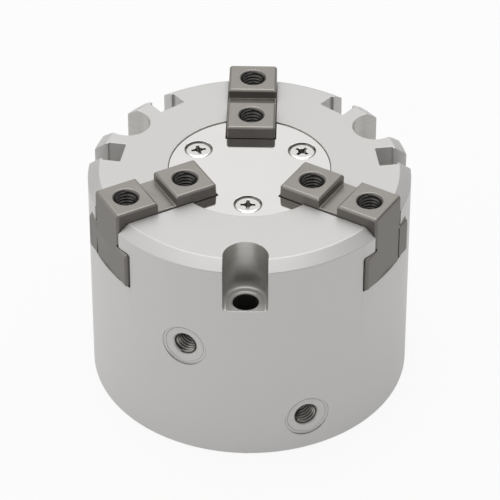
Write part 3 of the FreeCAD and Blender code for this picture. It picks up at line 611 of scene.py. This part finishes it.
def scallop_cutters():
    """Scallops with a filleted floor, and their through holes."""
    sizes = gripper_sizes()
    floor = BODY_HEIGHT - sizes.scallop_depth
    levels = []
    for step in range(9):
        turn = math.pi / 2 * step / 8
        radius = sizes.scallop_radius - sizes.scallop_fillet * (1 - math.sin(turn))
        levels.append((scallop_outline(radius), floor + sizes.scallop_fillet * (1 - math.cos(turn))))
    levels.append((scallop_outline(sizes.scallop_radius), BODY_HEIGHT + SPARE))
    chamfer = sizes.hole_chamfer
    over = sizes.edge_break
    hole = [(0, -over), (MOUNT_HOLE + chamfer + over, -over), (MOUNT_HOLE, chamfer),
            (MOUNT_HOLE, floor - chamfer), (MOUNT_HOLE + chamfer + over, floor + over), (0, floor + over)]
    cutters = []
    for angle in SCALLOP_ANGLES:
        cutters.append(new_object("scallop_cutter", loft, levels, turn_z(angle)))
        cutters.append(new_object("hole_cutter", lathe, hole, HOLE_SIDES, along(angle, MOUNT_CIRCLE)))
    return cutters


def groove_cutters():
    """Sensor grooves with a narrower mouth, over the full height."""
    sizes = gripper_sizes()
    half = sizes.groove_width / 2
    mouth = sizes.groove_mouth / 2
    lip = BODY_RADIUS - sizes.groove_lip
    side = [(sizes.groove_floor, half), (lip, half), (lip, mouth), (BODY_RADIUS + SPARE, mouth)]
    outline = side + [(x, -y) for x, y in reversed(side)]
    rear = sorted(SCALLOP_ANGLES, key=math.sin)[1:]
    return [new_object("groove_cutter", prism, outline, -SPARE, BODY_HEIGHT + SPARE,
                       turn_z(angle + sign * sizes.groove_angle))
            for angle in rear for sign in (-1, 1)]


def port_frame(name):
    """Frame whose Z runs out along a port, with its origin on the gripper's axis."""
    matrix = Vector(MOUNTS[name]["axis"]).to_track_quat("Z", "X").to_matrix().to_4x4()
    matrix.translation = Vector((0, 0, MOUNTS[name]["pos_m"][2]))
    return matrix


def port_cutters():
    """Spot face, thread bore and small air passage of each port."""
    sizes = gripper_sizes()
    face = BODY_RADIUS - sizes.port_face_depth
    end = BODY_RADIUS - sizes.port_depth
    ring = face + sizes.port_ring_height
    profile = [
        (0, PASSAGE_START), (sizes.passage_radius, PASSAGE_START), (sizes.passage_radius, end),
        (THREAD_RADIUS, end), (THREAD_RADIUS, face - sizes.port_sink),
        (THREAD_RADIUS + sizes.port_sink, face), (sizes.port_ring_radius, face),
        (sizes.port_ring_radius, ring), (sizes.port_face_radius, ring),
        (sizes.port_face_radius, BODY_RADIUS + SPARE), (0, BODY_RADIUS + SPARE),
    ]
    return [new_object("port_cutter", lathe, profile, HOLE_SIDES, port_frame(name)) for name in PORTS]


def screw_hole_cutters():
    """Tapped holes for the cover screws."""
    shank = gripper_sizes().screw_shank
    foot = SCREW_FOOT - TAP_SPARE
    profile = [(0, foot), (shank, foot), (shank, BODY_HEIGHT), (0, BODY_HEIGHT)]
    return [new_object("screw_hole", lathe, profile, HOLE_SIDES // 2, matrix) for matrix in screw_frames()]


def housing_cut_and_shade(face):
    """How far a face of the housing is a machined cut, whose darker tone is partly painted shade, and how
    much painted shade its recess gets.
    """
    sizes = gripper_sizes()
    centre = face.center
    on_top = centre.z > BODY_HEIGHT - NEAR
    above_floor = BODY_HEIGHT - sizes.scallop_depth < centre.z + NEAR and not on_top
    for angle in SCALLOP_ANGLES:
        place = along(angle, MOUNT_CIRCLE).inverted() @ centre
        reach = place.xy.length
        if reach < MOUNT_HOLE + NEAR and abs(face.normal.z) < 0.5:
            return 1.0, 0.9
        across = reach if place.x < 0 else abs(place.y)
        if across < sizes.scallop_radius + NEAR and above_floor:
            # Walls take more of the darker milled tone than the floor, which is partly painted shade.
            return 0.75 - 0.5 * abs(face.normal.z), 0.0
    for name in PORTS:
        place = port_frame(name).inverted() @ centre
        reach = place.xy.length
        if place.z > 0 and reach < THREAD_RADIUS + NEAR:
            return 1.0, 1.0
        walls = (sizes.port_face_radius, sizes.port_ring_radius)
        in_face = place.z > BODY_RADIUS - sizes.port_face_depth
        if in_face and min(abs(reach - wall) for wall in walls) < NEAR:
            return 0.5, 0.7
    for angle in JAW_ANGLES.values():
        place = turn_z(-angle) @ centre
        under_roof = centre.z < JAW_FOOT + sizes.flange_height + 2 * sizes.slot_gap
        half = (FLANGE_HALF if under_roof else sizes.neck_width / 2) + 2 * sizes.slot_gap
        inside = place.x > 0 and place.xy.length < BODY_RADIUS - NEAR
        if inside and not on_top and abs(place.y) < half and centre.z > JAW_FOOT - 2 * sizes.slot_gap:
            return 0.9, 0.8
    reach = centre.xy.length
    if centre.z > PLATE_FOOT and abs(reach - PLATE_RADIUS - sizes.seat_gap) < NEAR:
        return 0.5, 0.0
    within = reach < SNAP_RING_RADIUS + SPARE / 2
    return (0.5, 0.3) if within and not on_top and centre.z > 0 else (0.0, 0.0)


def at_slot_mouth(point):
    """Whether a corner of the housing lies where a slot's wide part opens in the side."""
    sizes = gripper_sizes()
    rise = point.z - JAW_FOOT + sizes.slot_gap
    on_side = point.xy.length > BODY_RADIUS - NEAR
    if not on_side or not -NEAR < rise < sizes.flange_height + 2 * sizes.slot_gap + NEAR:
        return False
    places = [turn_z(-angle) @ point for angle in JAW_ANGLES.values()]
    return any(place.x > 0 and abs(place.y) < FLANGE_HALF + sizes.slot_gap + NEAR for place in places)


def merge_top(housing):
    """Join the faces of each sector of the top: their inner edges would cross the bevels and fold it."""
    with edited(housing.data) as shape:
        inner = [edge for edge in shape.edges
                 if all(vert.co.z > BODY_HEIGHT - NEAR for face in edge.link_faces for vert in face.verts)]
        bmesh.ops.dissolve_edges(shape, edges=inner, use_verts=False)


def make_housing():
    """Housing with all its cuts, in the order in which they are made."""
    sizes = gripper_sizes()
    housing = new_object("housing", housing_blank)
    for cutters in (slot_cutters, scallop_cutters, groove_cutters, port_cutters, screw_hole_cutters):
        carve(housing, cutters())
    merge_top(housing)
    break_edges(housing, sizes.edge_break, sizes.mouth_chamfer, at_slot_mouth)
    mark_faces(housing, housing_cut_and_shade, sizes.edge_break * STRIP)
    return dress(housing, "anodised", "housing", "body_metal", "body")


# Jaws

def wedge_sum():
    """Radius plus height, which is the same all over the cam's inclined faces."""
    return CAM_TOP + gripper_sizes().cam_top_radius


def jaw_profile():
    """Side outline of a jaw without its flange: outwards, up."""
    sizes = gripper_sizes()
    outer_pad = JAW_OUTER - sizes.outer_pad
    inner_pad = outer_pad - sizes.cross_groove
    groove = JAW_TOP - sizes.cross_groove_depth
    ledge = PLATE_FOOT - sizes.ledge_gap
    wedge = wedge_sum() + sizes.wedge_gap
    return [
        (JAW_OUTER, JAW_FOOT), (JAW_OUTER, JAW_TOP), (outer_pad, JAW_TOP), (outer_pad, groove),
        (inner_pad, groove), (inner_pad, JAW_TOP), (sizes.pad_start, JAW_TOP), (sizes.pad_start, ledge),
        (sizes.ledge_start, ledge), (sizes.ledge_start, wedge - sizes.ledge_start),
        (wedge - JAW_FOOT, JAW_FOOT),
    ]


def chamfer_pads(jaw, angle):
    """Chamfer the pads' top edges and the upright corners at both ends of the neck."""
    sizes = gripper_sizes()
    with edited(jaw.data) as shape:
        chosen = []
        for edge in shape.edges:
            first, second = (turn_z(-angle) @ vert.co for vert in edge.verts)
            top = min(first.z, second.z) > JAW_TOP - NEAR
            upright = (first - second).xy.length < NEAR
            at_end = min(abs(first.x - JAW_OUTER), abs(first.x - sizes.pad_start)) < NEAR
            if top or (upright and at_end):
                chosen.append(edge)
        bmesh.ops.bevel(shape, geom=chosen, offset=sizes.jaw_chamfer, offset_type="OFFSET", segments=1,
                        profile=0.5, affect="EDGES")


def flange_levels():
    """Sections of the flange, which gets smaller at its outer end: across and up, with their reach."""
    sizes = gripper_sizes()
    cut = sizes.flange_chamfer
    top = JAW_FOOT + sizes.flange_height

    def section(inset):
        return mirrored([
            (FLANGE_HALF - cut - inset, JAW_FOOT + inset), (FLANGE_HALF - inset, JAW_FOOT + cut + inset),
            (FLANGE_HALF - inset, top - cut - inset), (FLANGE_HALF - cut - inset, top - inset)])

    start = wedge_sum() + sizes.wedge_gap - JAW_FOOT
    return [(section(0), start), (section(0), JAW_OUTER - cut), (section(cut), JAW_OUTER)]


def tongue_bands():
    """Inclined T-tongue that hooks into the cam: each band's two wedge sums and its width."""
    sizes = gripper_sizes()
    face = wedge_sum() + sizes.wedge_gap
    neck = wedge_sum() - sizes.tongue_step - sizes.tongue_gap
    head = wedge_sum() - 2 * sizes.tongue_step + sizes.tongue_gap
    return [(face + STEP / 2, neck - STEP, sizes.tongue_neck), (neck, head, sizes.tongue_head)]


def jaw_cutters(angle):
    """Round reliefs between neck and flange, and the two threaded holes."""
    sizes = gripper_sizes()
    radius = sizes.relief_radius
    edge = (sizes.neck_width - radius) / 2
    top = JAW_FOOT + sizes.flange_height + radius / 2
    turns = [math.pi * step / 12 for step in range(24)]
    cutters = []
    for side in (-edge, edge):
        ring = [(side + radius * math.cos(turn), top + radius * math.sin(turn)) for turn in turns]
        cutters.append(new_object("relief", prism, ring, sizes.pad_start, JAW_OUTER + SPARE,
                                  turn_z(angle) @ OUTWARDS))
    foot = JAW_TOP - sizes.jaw_depth
    hole = [(0, foot - THREAD_RADIUS / 2), (THREAD_RADIUS, foot), (THREAD_RADIUS, JAW_TOP - sizes.jaw_sink),
            (THREAD_RADIUS + sizes.jaw_sink + SPARE, JAW_TOP + SPARE), (0, JAW_TOP + SPARE)]
    for reach in (INNER_THREAD, OUTER_THREAD):
        cutters.append(new_object("hole", lathe, hole, HOLE_SIDES, along(angle, reach)))
    return cutters


def make_jaw(name):
    """One jaw: block, flange and tongue joined, then cut and finished."""
    sizes = gripper_sizes()
    angle = JAW_ANGLES[name]
    side_frame = turn_z(angle) @ ON_SIDE
    half = sizes.neck_width / 2
    jaw = new_object(f"{name}_block", prism, jaw_profile(), -half, half, side_frame)
    chamfer_pads(jaw, angle)

    added = [new_object("flange", loft, flange_levels(), turn_z(angle) @ OUTWARDS)]
    # Each band starts and ends a little further in, because planes that two solids share leave holes
    for number, (outer, inner, width) in enumerate(tongue_bands(), 1):
        foot = JAW_FOOT + number * STEP
        top = CAM_TOP - number * STEP
        band = [(outer - foot, foot), (outer - top, top), (inner - top, top), (inner - foot, foot)]
        added.append(new_object("tongue", prism, band, -width / 2, width / 2, side_frame))
    carve(jaw, added, "UNION")
    carve(jaw, jaw_cutters(angle))
    break_edges(jaw, sizes.edge_break)

    def cut_and_shade_at(face):
        """Painted shade: none on the ground tops, more the steeper a face is, all of it in the holes, and
        more again low in the holes.
        """
        place = turn_z(-angle) @ face.center
        in_hole = any(math.hypot(place.x - reach, place.y) < THREAD_RADIUS + sizes.jaw_sink
                      for reach in (INNER_THREAD, OUTER_THREAD))
        painted_shade = in_hole and place.z < JAW_TOP - sizes.jaw_sink
        return (1.0 if in_hole and place.z < JAW_TOP - NEAR else 1 - max(0.0, face.normal.z)), float(painted_shade)

    mark_faces(jaw, cut_and_shade_at, sizes.edge_break * STRIP)
    material = "jaw_steel_y" if name == "back_jaw" else "jaw_steel_x"
    return dress(jaw, material, JAWS[name], "jaw_steel", name)


# Geometry Nodes

def node_tree(name, **kinds):
    """Geometry tree with a mesh and named values as inputs; returns the tree and its inputs."""
    tree = bpy.data.node_groups.new(name, "GeometryNodeTree")
    tree.interface.new_socket("Geometry", in_out="OUTPUT", socket_type="NodeSocketGeometry")
    for label, kind in {"Geometry": "Geometry", **kinds}.items():
        tree.interface.new_socket(label, in_out="INPUT", socket_type=f"NodeSocket{kind}")
    given = tree.nodes.new("NodeGroupInput")
    return tree, [Sock(tree, given.outputs[label]) for label in ("Geometry", *kinds)]


def end_tree(instances, material):
    """Last nodes of a tree: plain mesh with its material."""
    real = instances.node("GeometryNodeRealizeInstances", (instances,))
    coated = real.node("GeometryNodeSetMaterial", {"Geometry": real, "Material": material})
    output = coated.tree.nodes.new("NodeGroupOutput")
    coated.tree.links.new(coated.socket, output.inputs["Geometry"])


def run_tree(thing, tree, **values):
    """Run a tree on an object with values for its named inputs, and keep the plain mesh."""
    modifier = thing.modifiers.new(tree.name, "NODES")
    modifier.node_group = tree
    for item in tree.interface.items_tree:
        if item.in_out == "INPUT" and item.name in values:
            modifier[item.identifier] = values[item.name]
    apply_modifiers(thing)


def thread_tree():
    """Helical ridge of a thread, repeated along the normal of each small face of the input mesh."""
    if "thread_ridges" in bpy.data.node_groups:
        return bpy.data.node_groups["thread_ridges"]
    tree, (anchors, radius, pitch, reach, ridge, material) = node_tree(
        "thread_ridges", Radius="Float", Pitch="Float", Length="Float", Ridge="Float", Material="Material")
    spiral = radius.node("GeometryNodeCurveSpiral", {
        "Resolution": 40, "Rotations": reach / pitch, "Start Radius": radius, "End Radius": radius,
        "Height": reach})
    upright = spiral.node("GeometryNodeSetCurveNormal", {"Curve": spiral}, mode="Z_UP")
    section = ridge.node("GeometryNodeCurvePrimitiveCircle", {"Resolution": 4, "Radius": ridge},
                         mode="RADIUS")
    sweep = upright.node("GeometryNodeCurveToMesh", {
        "Curve": upright, "Profile Curve": section, "Fill Caps": True})
    place = sweep.node("GeometryNodeInputPosition")
    level = place.node("ShaderNodeVectorMath", (place, (1, 1, 0)), operation="MULTIPLY")
    across = level.node("ShaderNodeVectorMath", (level,), "Value", operation="LENGTH")
    marked = sweep.node("GeometryNodeStoreNamedAttribute", {
        "Geometry": sweep, "Name": "crest", "Value": ((radius - across) / ridge).clamp()})
    keep = tree.nodes.new("GeometryNodeCaptureAttribute")
    keep.domain = "FACE"
    keep.capture_items.new("VECTOR", "Axis")
    normal = anchors.node("GeometryNodeInputNormal")
    tree.links.new(anchors.socket, keep.inputs["Geometry"])
    tree.links.new(normal.socket, keep.inputs[1])
    kept, axis = (Sock(tree, keep.outputs[number]) for number in (0, 1))
    points = kept.node("GeometryNodeMeshToPoints", {"Mesh": kept}, mode="FACES")
    turned = axis.node("FunctionNodeAlignRotationToVector", {"Vector": axis}, axis="Z")
    end_tree(points.node("GeometryNodeInstanceOnPoints", {
        "Points": points, "Instance": marked, "Rotation": turned}), material)
    return tree


def thread_group(name, places, body, slot, reach, material):
    """Thread ridges of one body: a tiny face, square to the hole, stands at the foot of each."""
    sizes = gripper_sizes()

    def anchors(shape):
        for foot, axis in places:
            side = axis.orthogonal().normalized() * 1e-6
            other = axis.cross(side)
            shape.faces.new([shape.verts.new(foot + offset) for offset in (side, other, -side - other)])

    holder = new_object(name, anchors, closed=False)
    run_tree(holder, thread_tree(), Radius=THREAD_RADIUS, Pitch=sizes.thread_pitch, Length=reach,
             Ridge=sizes.thread_pitch / 2, Material=finish(material))
    shade(holder)
    return dress(holder, material, body, slot)


def make_threads():
    """Thread ridges of the three jaws and of the two ports."""
    sizes = gripper_sizes()
    foot = Vector((0, 0, JAW_TOP - sizes.jaw_depth))
    for name, body in JAWS.items():
        places = [(along(JAW_ANGLES[name], reach) @ foot, Vector((0, 0, 1)))
                  for reach in (INNER_THREAD, OUTER_THREAD)]
        thread_group(f"{name}_threads", places, body, "jaw_steel", sizes.jaw_depth - sizes.jaw_sink,
                     "thread_steel")
    start = Vector((0, 0, BODY_RADIUS - sizes.port_depth))
    places = [(port_frame(name) @ start, Vector(MOUNTS[name]["axis"])) for name in PORTS]
    thread_group("port_threads", places, "housing", "body_metal",
                 sizes.port_depth - sizes.port_face_depth - sizes.port_sink, "port_thread")


# Cover plate and its screws

def screw_frames():
    """Upright frames on the axes of the cover screws, the front one of which lies on -Y."""
    circle = -low("cover_screws").y - gripper_sizes().screw_radius
    return [along(angle, circle) for angle in SCALLOP_ANGLES]


def make_plate():
    """Cover plate with notches round the jaws and countersunk screw holes."""
    sizes = gripper_sizes()
    disc = [(0, PLATE_FOOT), (PLATE_RADIUS, PLATE_FOOT), (PLATE_RADIUS, PLATE_TOP), (0, PLATE_TOP)]
    plate = new_object("polished_plate", lathe, disc, 192)
    half = sizes.neck_width / 2 + sizes.notch_gap
    notch = rectangle(sizes.pad_start - sizes.notch_gap, PLATE_RADIUS + SPARE, -half, half)
    foot = PLATE_FOOT - SPARE
    top = PLATE_TOP + SPARE
    cutters = [new_object("notch", prism, notch, foot, top, turn_z(angle)) for angle in JAW_ANGLES.values()]
    shank = sizes.screw_shank + SHANK_GAP
    head = sizes.screw_radius + HEAD_GAP
    sink = [(0, foot), (shank, foot), (shank, SCREW_TOP - sizes.screw_head), (head, SCREW_TOP), (head, top),
            (0, top)]
    cutters += [new_object("sink", lathe, sink, HOLE_SIDES, matrix) for matrix in screw_frames()]
    carve(plate, cutters)
    break_edges(plate, PLATE_BREAK)
    # Painted shade on every face that does not face up: countersinks, notches, rim and underside.
    mark_faces(plate, lambda face: (0.0, float(face.normal.z < 0.9)), 0.04 * MM)
    return dress(plate, "polished", "housing", "polished_plate", "cover_plate")


def recess_arm(shape, turn):
    """One bar of a cross recess, narrower and shorter at its foot."""
    top = rectangle(-1.75 * MM, 1.75 * MM, -0.38 * MM, 0.38 * MM)
    foot = [(x * 0.42, y * 0.6) for x, y in top]
    loft(shape, [(foot, -RECESS_DEPTH), (top, RECESS_OVER)], turn_z(turn))


def make_screw():
    """One cover screw with a low domed head, its top at the origin."""
    sizes = gripper_sizes()
    radius = sizes.screw_radius
    shank = sizes.screw_shank
    foot = SCREW_FOOT - SCREW_TOP
    shares = (1.0, 0.97, 0.93, 0.88, 0.82, 0.74, 0.6, 0.3)
    dome = [(radius * share, -0.5 * MM * share ** 9) for share in shares]
    profile = [(0, foot), (shank - 0.2 * MM, foot), (shank, foot + 0.3 * MM), (shank, -sizes.screw_head),
               *dome, (0, 0)]
    screw = new_object("screw", lathe, profile, HOLE_SIDES)
    cutters = [new_object("recess", recess_arm, turn) for turn in (0, math.pi / 2)]
    core = [(0, -1.5 * MM), (0.55 * MM, -RECESS_DEPTH), (0.9 * MM, RECESS_OVER), (0, RECESS_OVER)]
    cutters.append(new_object("recess_core", lathe, core, 24))
    carve(screw, cutters)
    break_edges(screw, SCREW_BREAK)

    def cut_and_shade_at(face):
        """Painted shade below the head's face, in the recess."""
        return 0.0, float(face.center.z < -0.12 * MM and face.center.xy.length < 0.7 * radius)

    mark_faces(screw, cut_and_shade_at, 0.03 * MM)
    return screw


def screw_tree():
    """One screw at each point of the input mesh, each turned by a different amount."""
    tree, (spots, screw, turn, material) = node_tree(
        "cover_screw_copies", Screw="Object", Turn="Float", Material="Material")
    shape = screw.node("GeometryNodeObjectInfo", (screw,), "Geometry", transform_space="ORIGINAL")
    index = turn.node("GeometryNodeInputIndex")
    spin = turn.node("ShaderNodeCombineXYZ", {"Z": index * turn})
    end_tree(spots.node("GeometryNodeInstanceOnPoints", {
        "Points": spots, "Instance": shape, "Rotation": spin}), material)
    return tree


def make_screws():
    """The three cover screws, copied from one."""
    screw = make_screw()
    top = Vector((0, 0, SCREW_TOP))

    def spots(shape):
        for matrix in screw_frames():
            shape.verts.new(matrix @ top)

    screws = new_object("plate_screws", spots, closed=False)
    run_tree(screws, screw_tree(), Screw=screw, Turn=0.9, Material=finish("bright"))
    bpy.data.objects.remove(screw)
    shade(screws)
    return dress(screws, "bright", "housing", "bright_screw", "cover_screws")


# Inner pieces

INNER_FINISHES = {
    "rod_cover": "machined", "rod_bush": "bronze", "rod_seal": "rubber", "rod_cover_oring": "rubber",
    "upper_damper": "rubber", "lower_damper": "rubber", "end_cap": "machined", "cap_oring": "rubber",
    "snap_ring": "phosphated", "piston": "machined", "piston_seal": "rubber", "wear_ring": "guide",
    "magnet_ring": "magnet", "piston_rod": "chrome_rod", "piston_bolt": "phosphated",
    "wedge_cam": "jaw_steel_x",
}


def dress_inner_nodes():
    for name, material in INNER_FINISHES.items():
        node = NODES[name]
        node.data.materials.clear()
        node.data.materials.append(finish(material))


# Stage

def direction(azimuth, elevation):
    """Unit vector towards an azimuth and an elevation in degrees."""
    turn = math.radians(azimuth)
    rise = math.radians(elevation)
    return Vector((math.cos(rise) * math.cos(turn), math.cos(rise) * math.sin(turn), math.sin(rise)))


CAMERA_LENS = 238.06
CAMERA_TARGET = Vector((0, 0, 29.13 * MM))
CAMERA_DISTANCE = 728.81 * MM
CAMERA_SIDE = (-88.5, 38.07)  # azimuth and elevation
FLOOR_HALF = 3


def make_camera():
    """Camera at the photograph's angle and distance."""
    camera = bpy.data.objects.new("camera", bpy.data.cameras.new("camera"))
    bpy.context.scene.collection.objects.link(camera)
    camera.data.sensor_width = 36
    camera.data.lens = CAMERA_LENS
    camera.data.clip_end = 10
    camera.data.shift_x = 0.001
    camera.location = CAMERA_TARGET + CAMERA_DISTANCE * direction(*CAMERA_SIDE)
    camera.rotation_euler = (CAMERA_TARGET - camera.location).to_track_quat("-Z", "Y").to_euler()
    bpy.context.scene.camera = camera


def floor_sheet(shape):
    corners = rectangle(-FLOOR_HALF, FLOOR_HALF, -FLOOR_HALF, FLOOR_HALF)
    shape.faces.new([shape.verts.new((x, y, 0)) for x, y in corners])


def make_floor():
    """Pale floor that the camera and the reflections see as white, apart from the object's shadow."""
    floor = new_object("floor", floor_sheet, closed=False)
    material = bpy.data.materials.new("floor")
    material.use_nodes = True
    tree = material.node_tree
    tree.nodes.clear()
    rays = tree.nodes.new("ShaderNodeLightPath")
    viewed, mirrored_in, through = (Sock(tree, rays.outputs[f"Is {kind} Ray"])
                                    for kind in ("Camera", "Glossy", "Transmission"))
    seen = (viewed + mirrored_in * 0.6 + through).at_most(1.0)
    paper = seen.node("ShaderNodeBsdfDiffuse", {"Color": (0.74, 0.74, 0.74, 1)})
    white = seen.node("ShaderNodeEmission", {"Color": (1, 1, 1, 1), "Strength": 1.0})
    surface = seen.node("ShaderNodeMixShader", (seen * 0.9, paper, white))
    output = tree.nodes.new("ShaderNodeOutputMaterial")
    tree.links.new(surface.socket, output.inputs["Surface"])
    floor.data.materials.append(material)


def softbox(name, azimuth, elevation, distance, size, radiance):
    """Rectangular lamp that faces the object; its power follows from how bright its face is."""
    light = bpy.data.lights.new(name, "AREA")
    light.shape = "RECTANGLE"
    light.size, light.size_y = size
    light.energy = radiance * math.pi * light.size * light.size_y
    lamp = bpy.data.objects.new(name, light)
    towards = direction(azimuth, elevation)
    lamp.location = Vector((0, 0, BODY_HEIGHT)) + distance * towards
    lamp.rotation_euler = (-towards).to_track_quat("-Z", "Y").to_euler()
    bpy.context.scene.collection.objects.link(lamp)


def make_lights():
    """Dim room with four large soft lamps: behind, left, right and above."""
    world = bpy.data.worlds.new("studio")
    bpy.context.scene.world = world
    world.use_nodes = True
    background = world.node_tree.nodes["Background"]
    background.inputs["Color"].default_value = (1, 1, 1, 1)
    background.inputs["Strength"].default_value = 0.32
    softbox("back", 90, 42, 1.0, (1.7, 1.0), 0.56)
    softbox("left", 190, 25, 0.9, (1.35, 1.05), 0.54)
    softbox("right", -8, 30, 0.9, (0.7, 0.6), 0.1)
    softbox("top", 90, 88, 0.9, (1.0, 1.0), 1.75)


# Operators and panel

class GRIPPER_OT_stage(Operator):
    """Make the camera, the floor and the lights"""
    bl_idname = "gripper.stage"
    bl_label = "Stage"

    def execute(self, context):
        context.scene.view_settings.view_transform = "Standard"
        make_camera()
        make_floor()
        make_lights()
        return {"FINISHED"}


class GRIPPER_OT_housing(Operator):
    """Make the housing with its slots, scallops, grooves and ports"""
    bl_idname = "gripper.housing"
    bl_label = "Housing"

    def execute(self, context):
        make_housing()
        return {"FINISHED"}


class GRIPPER_OT_jaws(Operator):
    """Make the three jaws"""
    bl_idname = "gripper.jaws"
    bl_label = "Jaws"

    def execute(self, context):
        for name in JAWS:
            make_jaw(name)
        return {"FINISHED"}


class GRIPPER_OT_threads(Operator):
    """Make the threads of the jaws and the ports"""
    bl_idname = "gripper.threads"
    bl_label = "Threads"

    def execute(self, context):
        make_threads()
        return {"FINISHED"}


class GRIPPER_OT_cover(Operator):
    """Make the cover plate and its screws"""
    bl_idname = "gripper.cover"
    bl_label = "Cover plate"

    def execute(self, context):
        make_plate()
        make_screws()
        return {"FINISHED"}


class GRIPPER_OT_inner(Operator):
    """Give the inner pieces their finishes"""
    bl_idname = "gripper.inner"
    bl_label = "Inner pieces"

    def execute(self, context):
        dress_inner_nodes()
        return {"FINISHED"}


OPERATORS = (GRIPPER_OT_stage, GRIPPER_OT_housing, GRIPPER_OT_jaws, GRIPPER_OT_threads,
             GRIPPER_OT_cover, GRIPPER_OT_inner)


class GRIPPER_PT_panel(Panel):
    """Sidebar panel that lists the gripper's operators, sizes and colours"""
    bl_label = "Gripper"
    bl_idname = "GRIPPER_PT_panel"
    bl_space_type = "VIEW_3D"
    bl_region_type = "UI"
    bl_category = "Gripper"

    def draw(self, context):
        for operator in OPERATORS:
            self.layout.operator(operator.bl_idname)
        for group in (context.scene.gripper_sizes, context.scene.gripper_colours):
            for name in group.__annotations__:
                self.layout.prop(group, name)


CLASSES = (GripperSizes, GripperColours, *OPERATORS, GRIPPER_PT_panel)


def register():
    for item in CLASSES:
        bpy.utils.register_class(item)
    bpy.types.Scene.gripper_sizes = PointerProperty(type=GripperSizes)
    bpy.types.Scene.gripper_colours = PointerProperty(type=GripperColours)


def unregister():
    del bpy.types.Scene.gripper_sizes
    del bpy.types.Scene.gripper_colours
    for item in reversed(CLASSES):
        bpy.utils.unregister_class(item)


def main():
    register()
    bpy.ops.gripper.stage()
    bpy.ops.gripper.housing()
    bpy.ops.gripper.jaws()
    bpy.ops.gripper.threads()
    bpy.ops.gripper.cover()
    bpy.ops.gripper.inner()


if __name__ == "__main__":
    main()
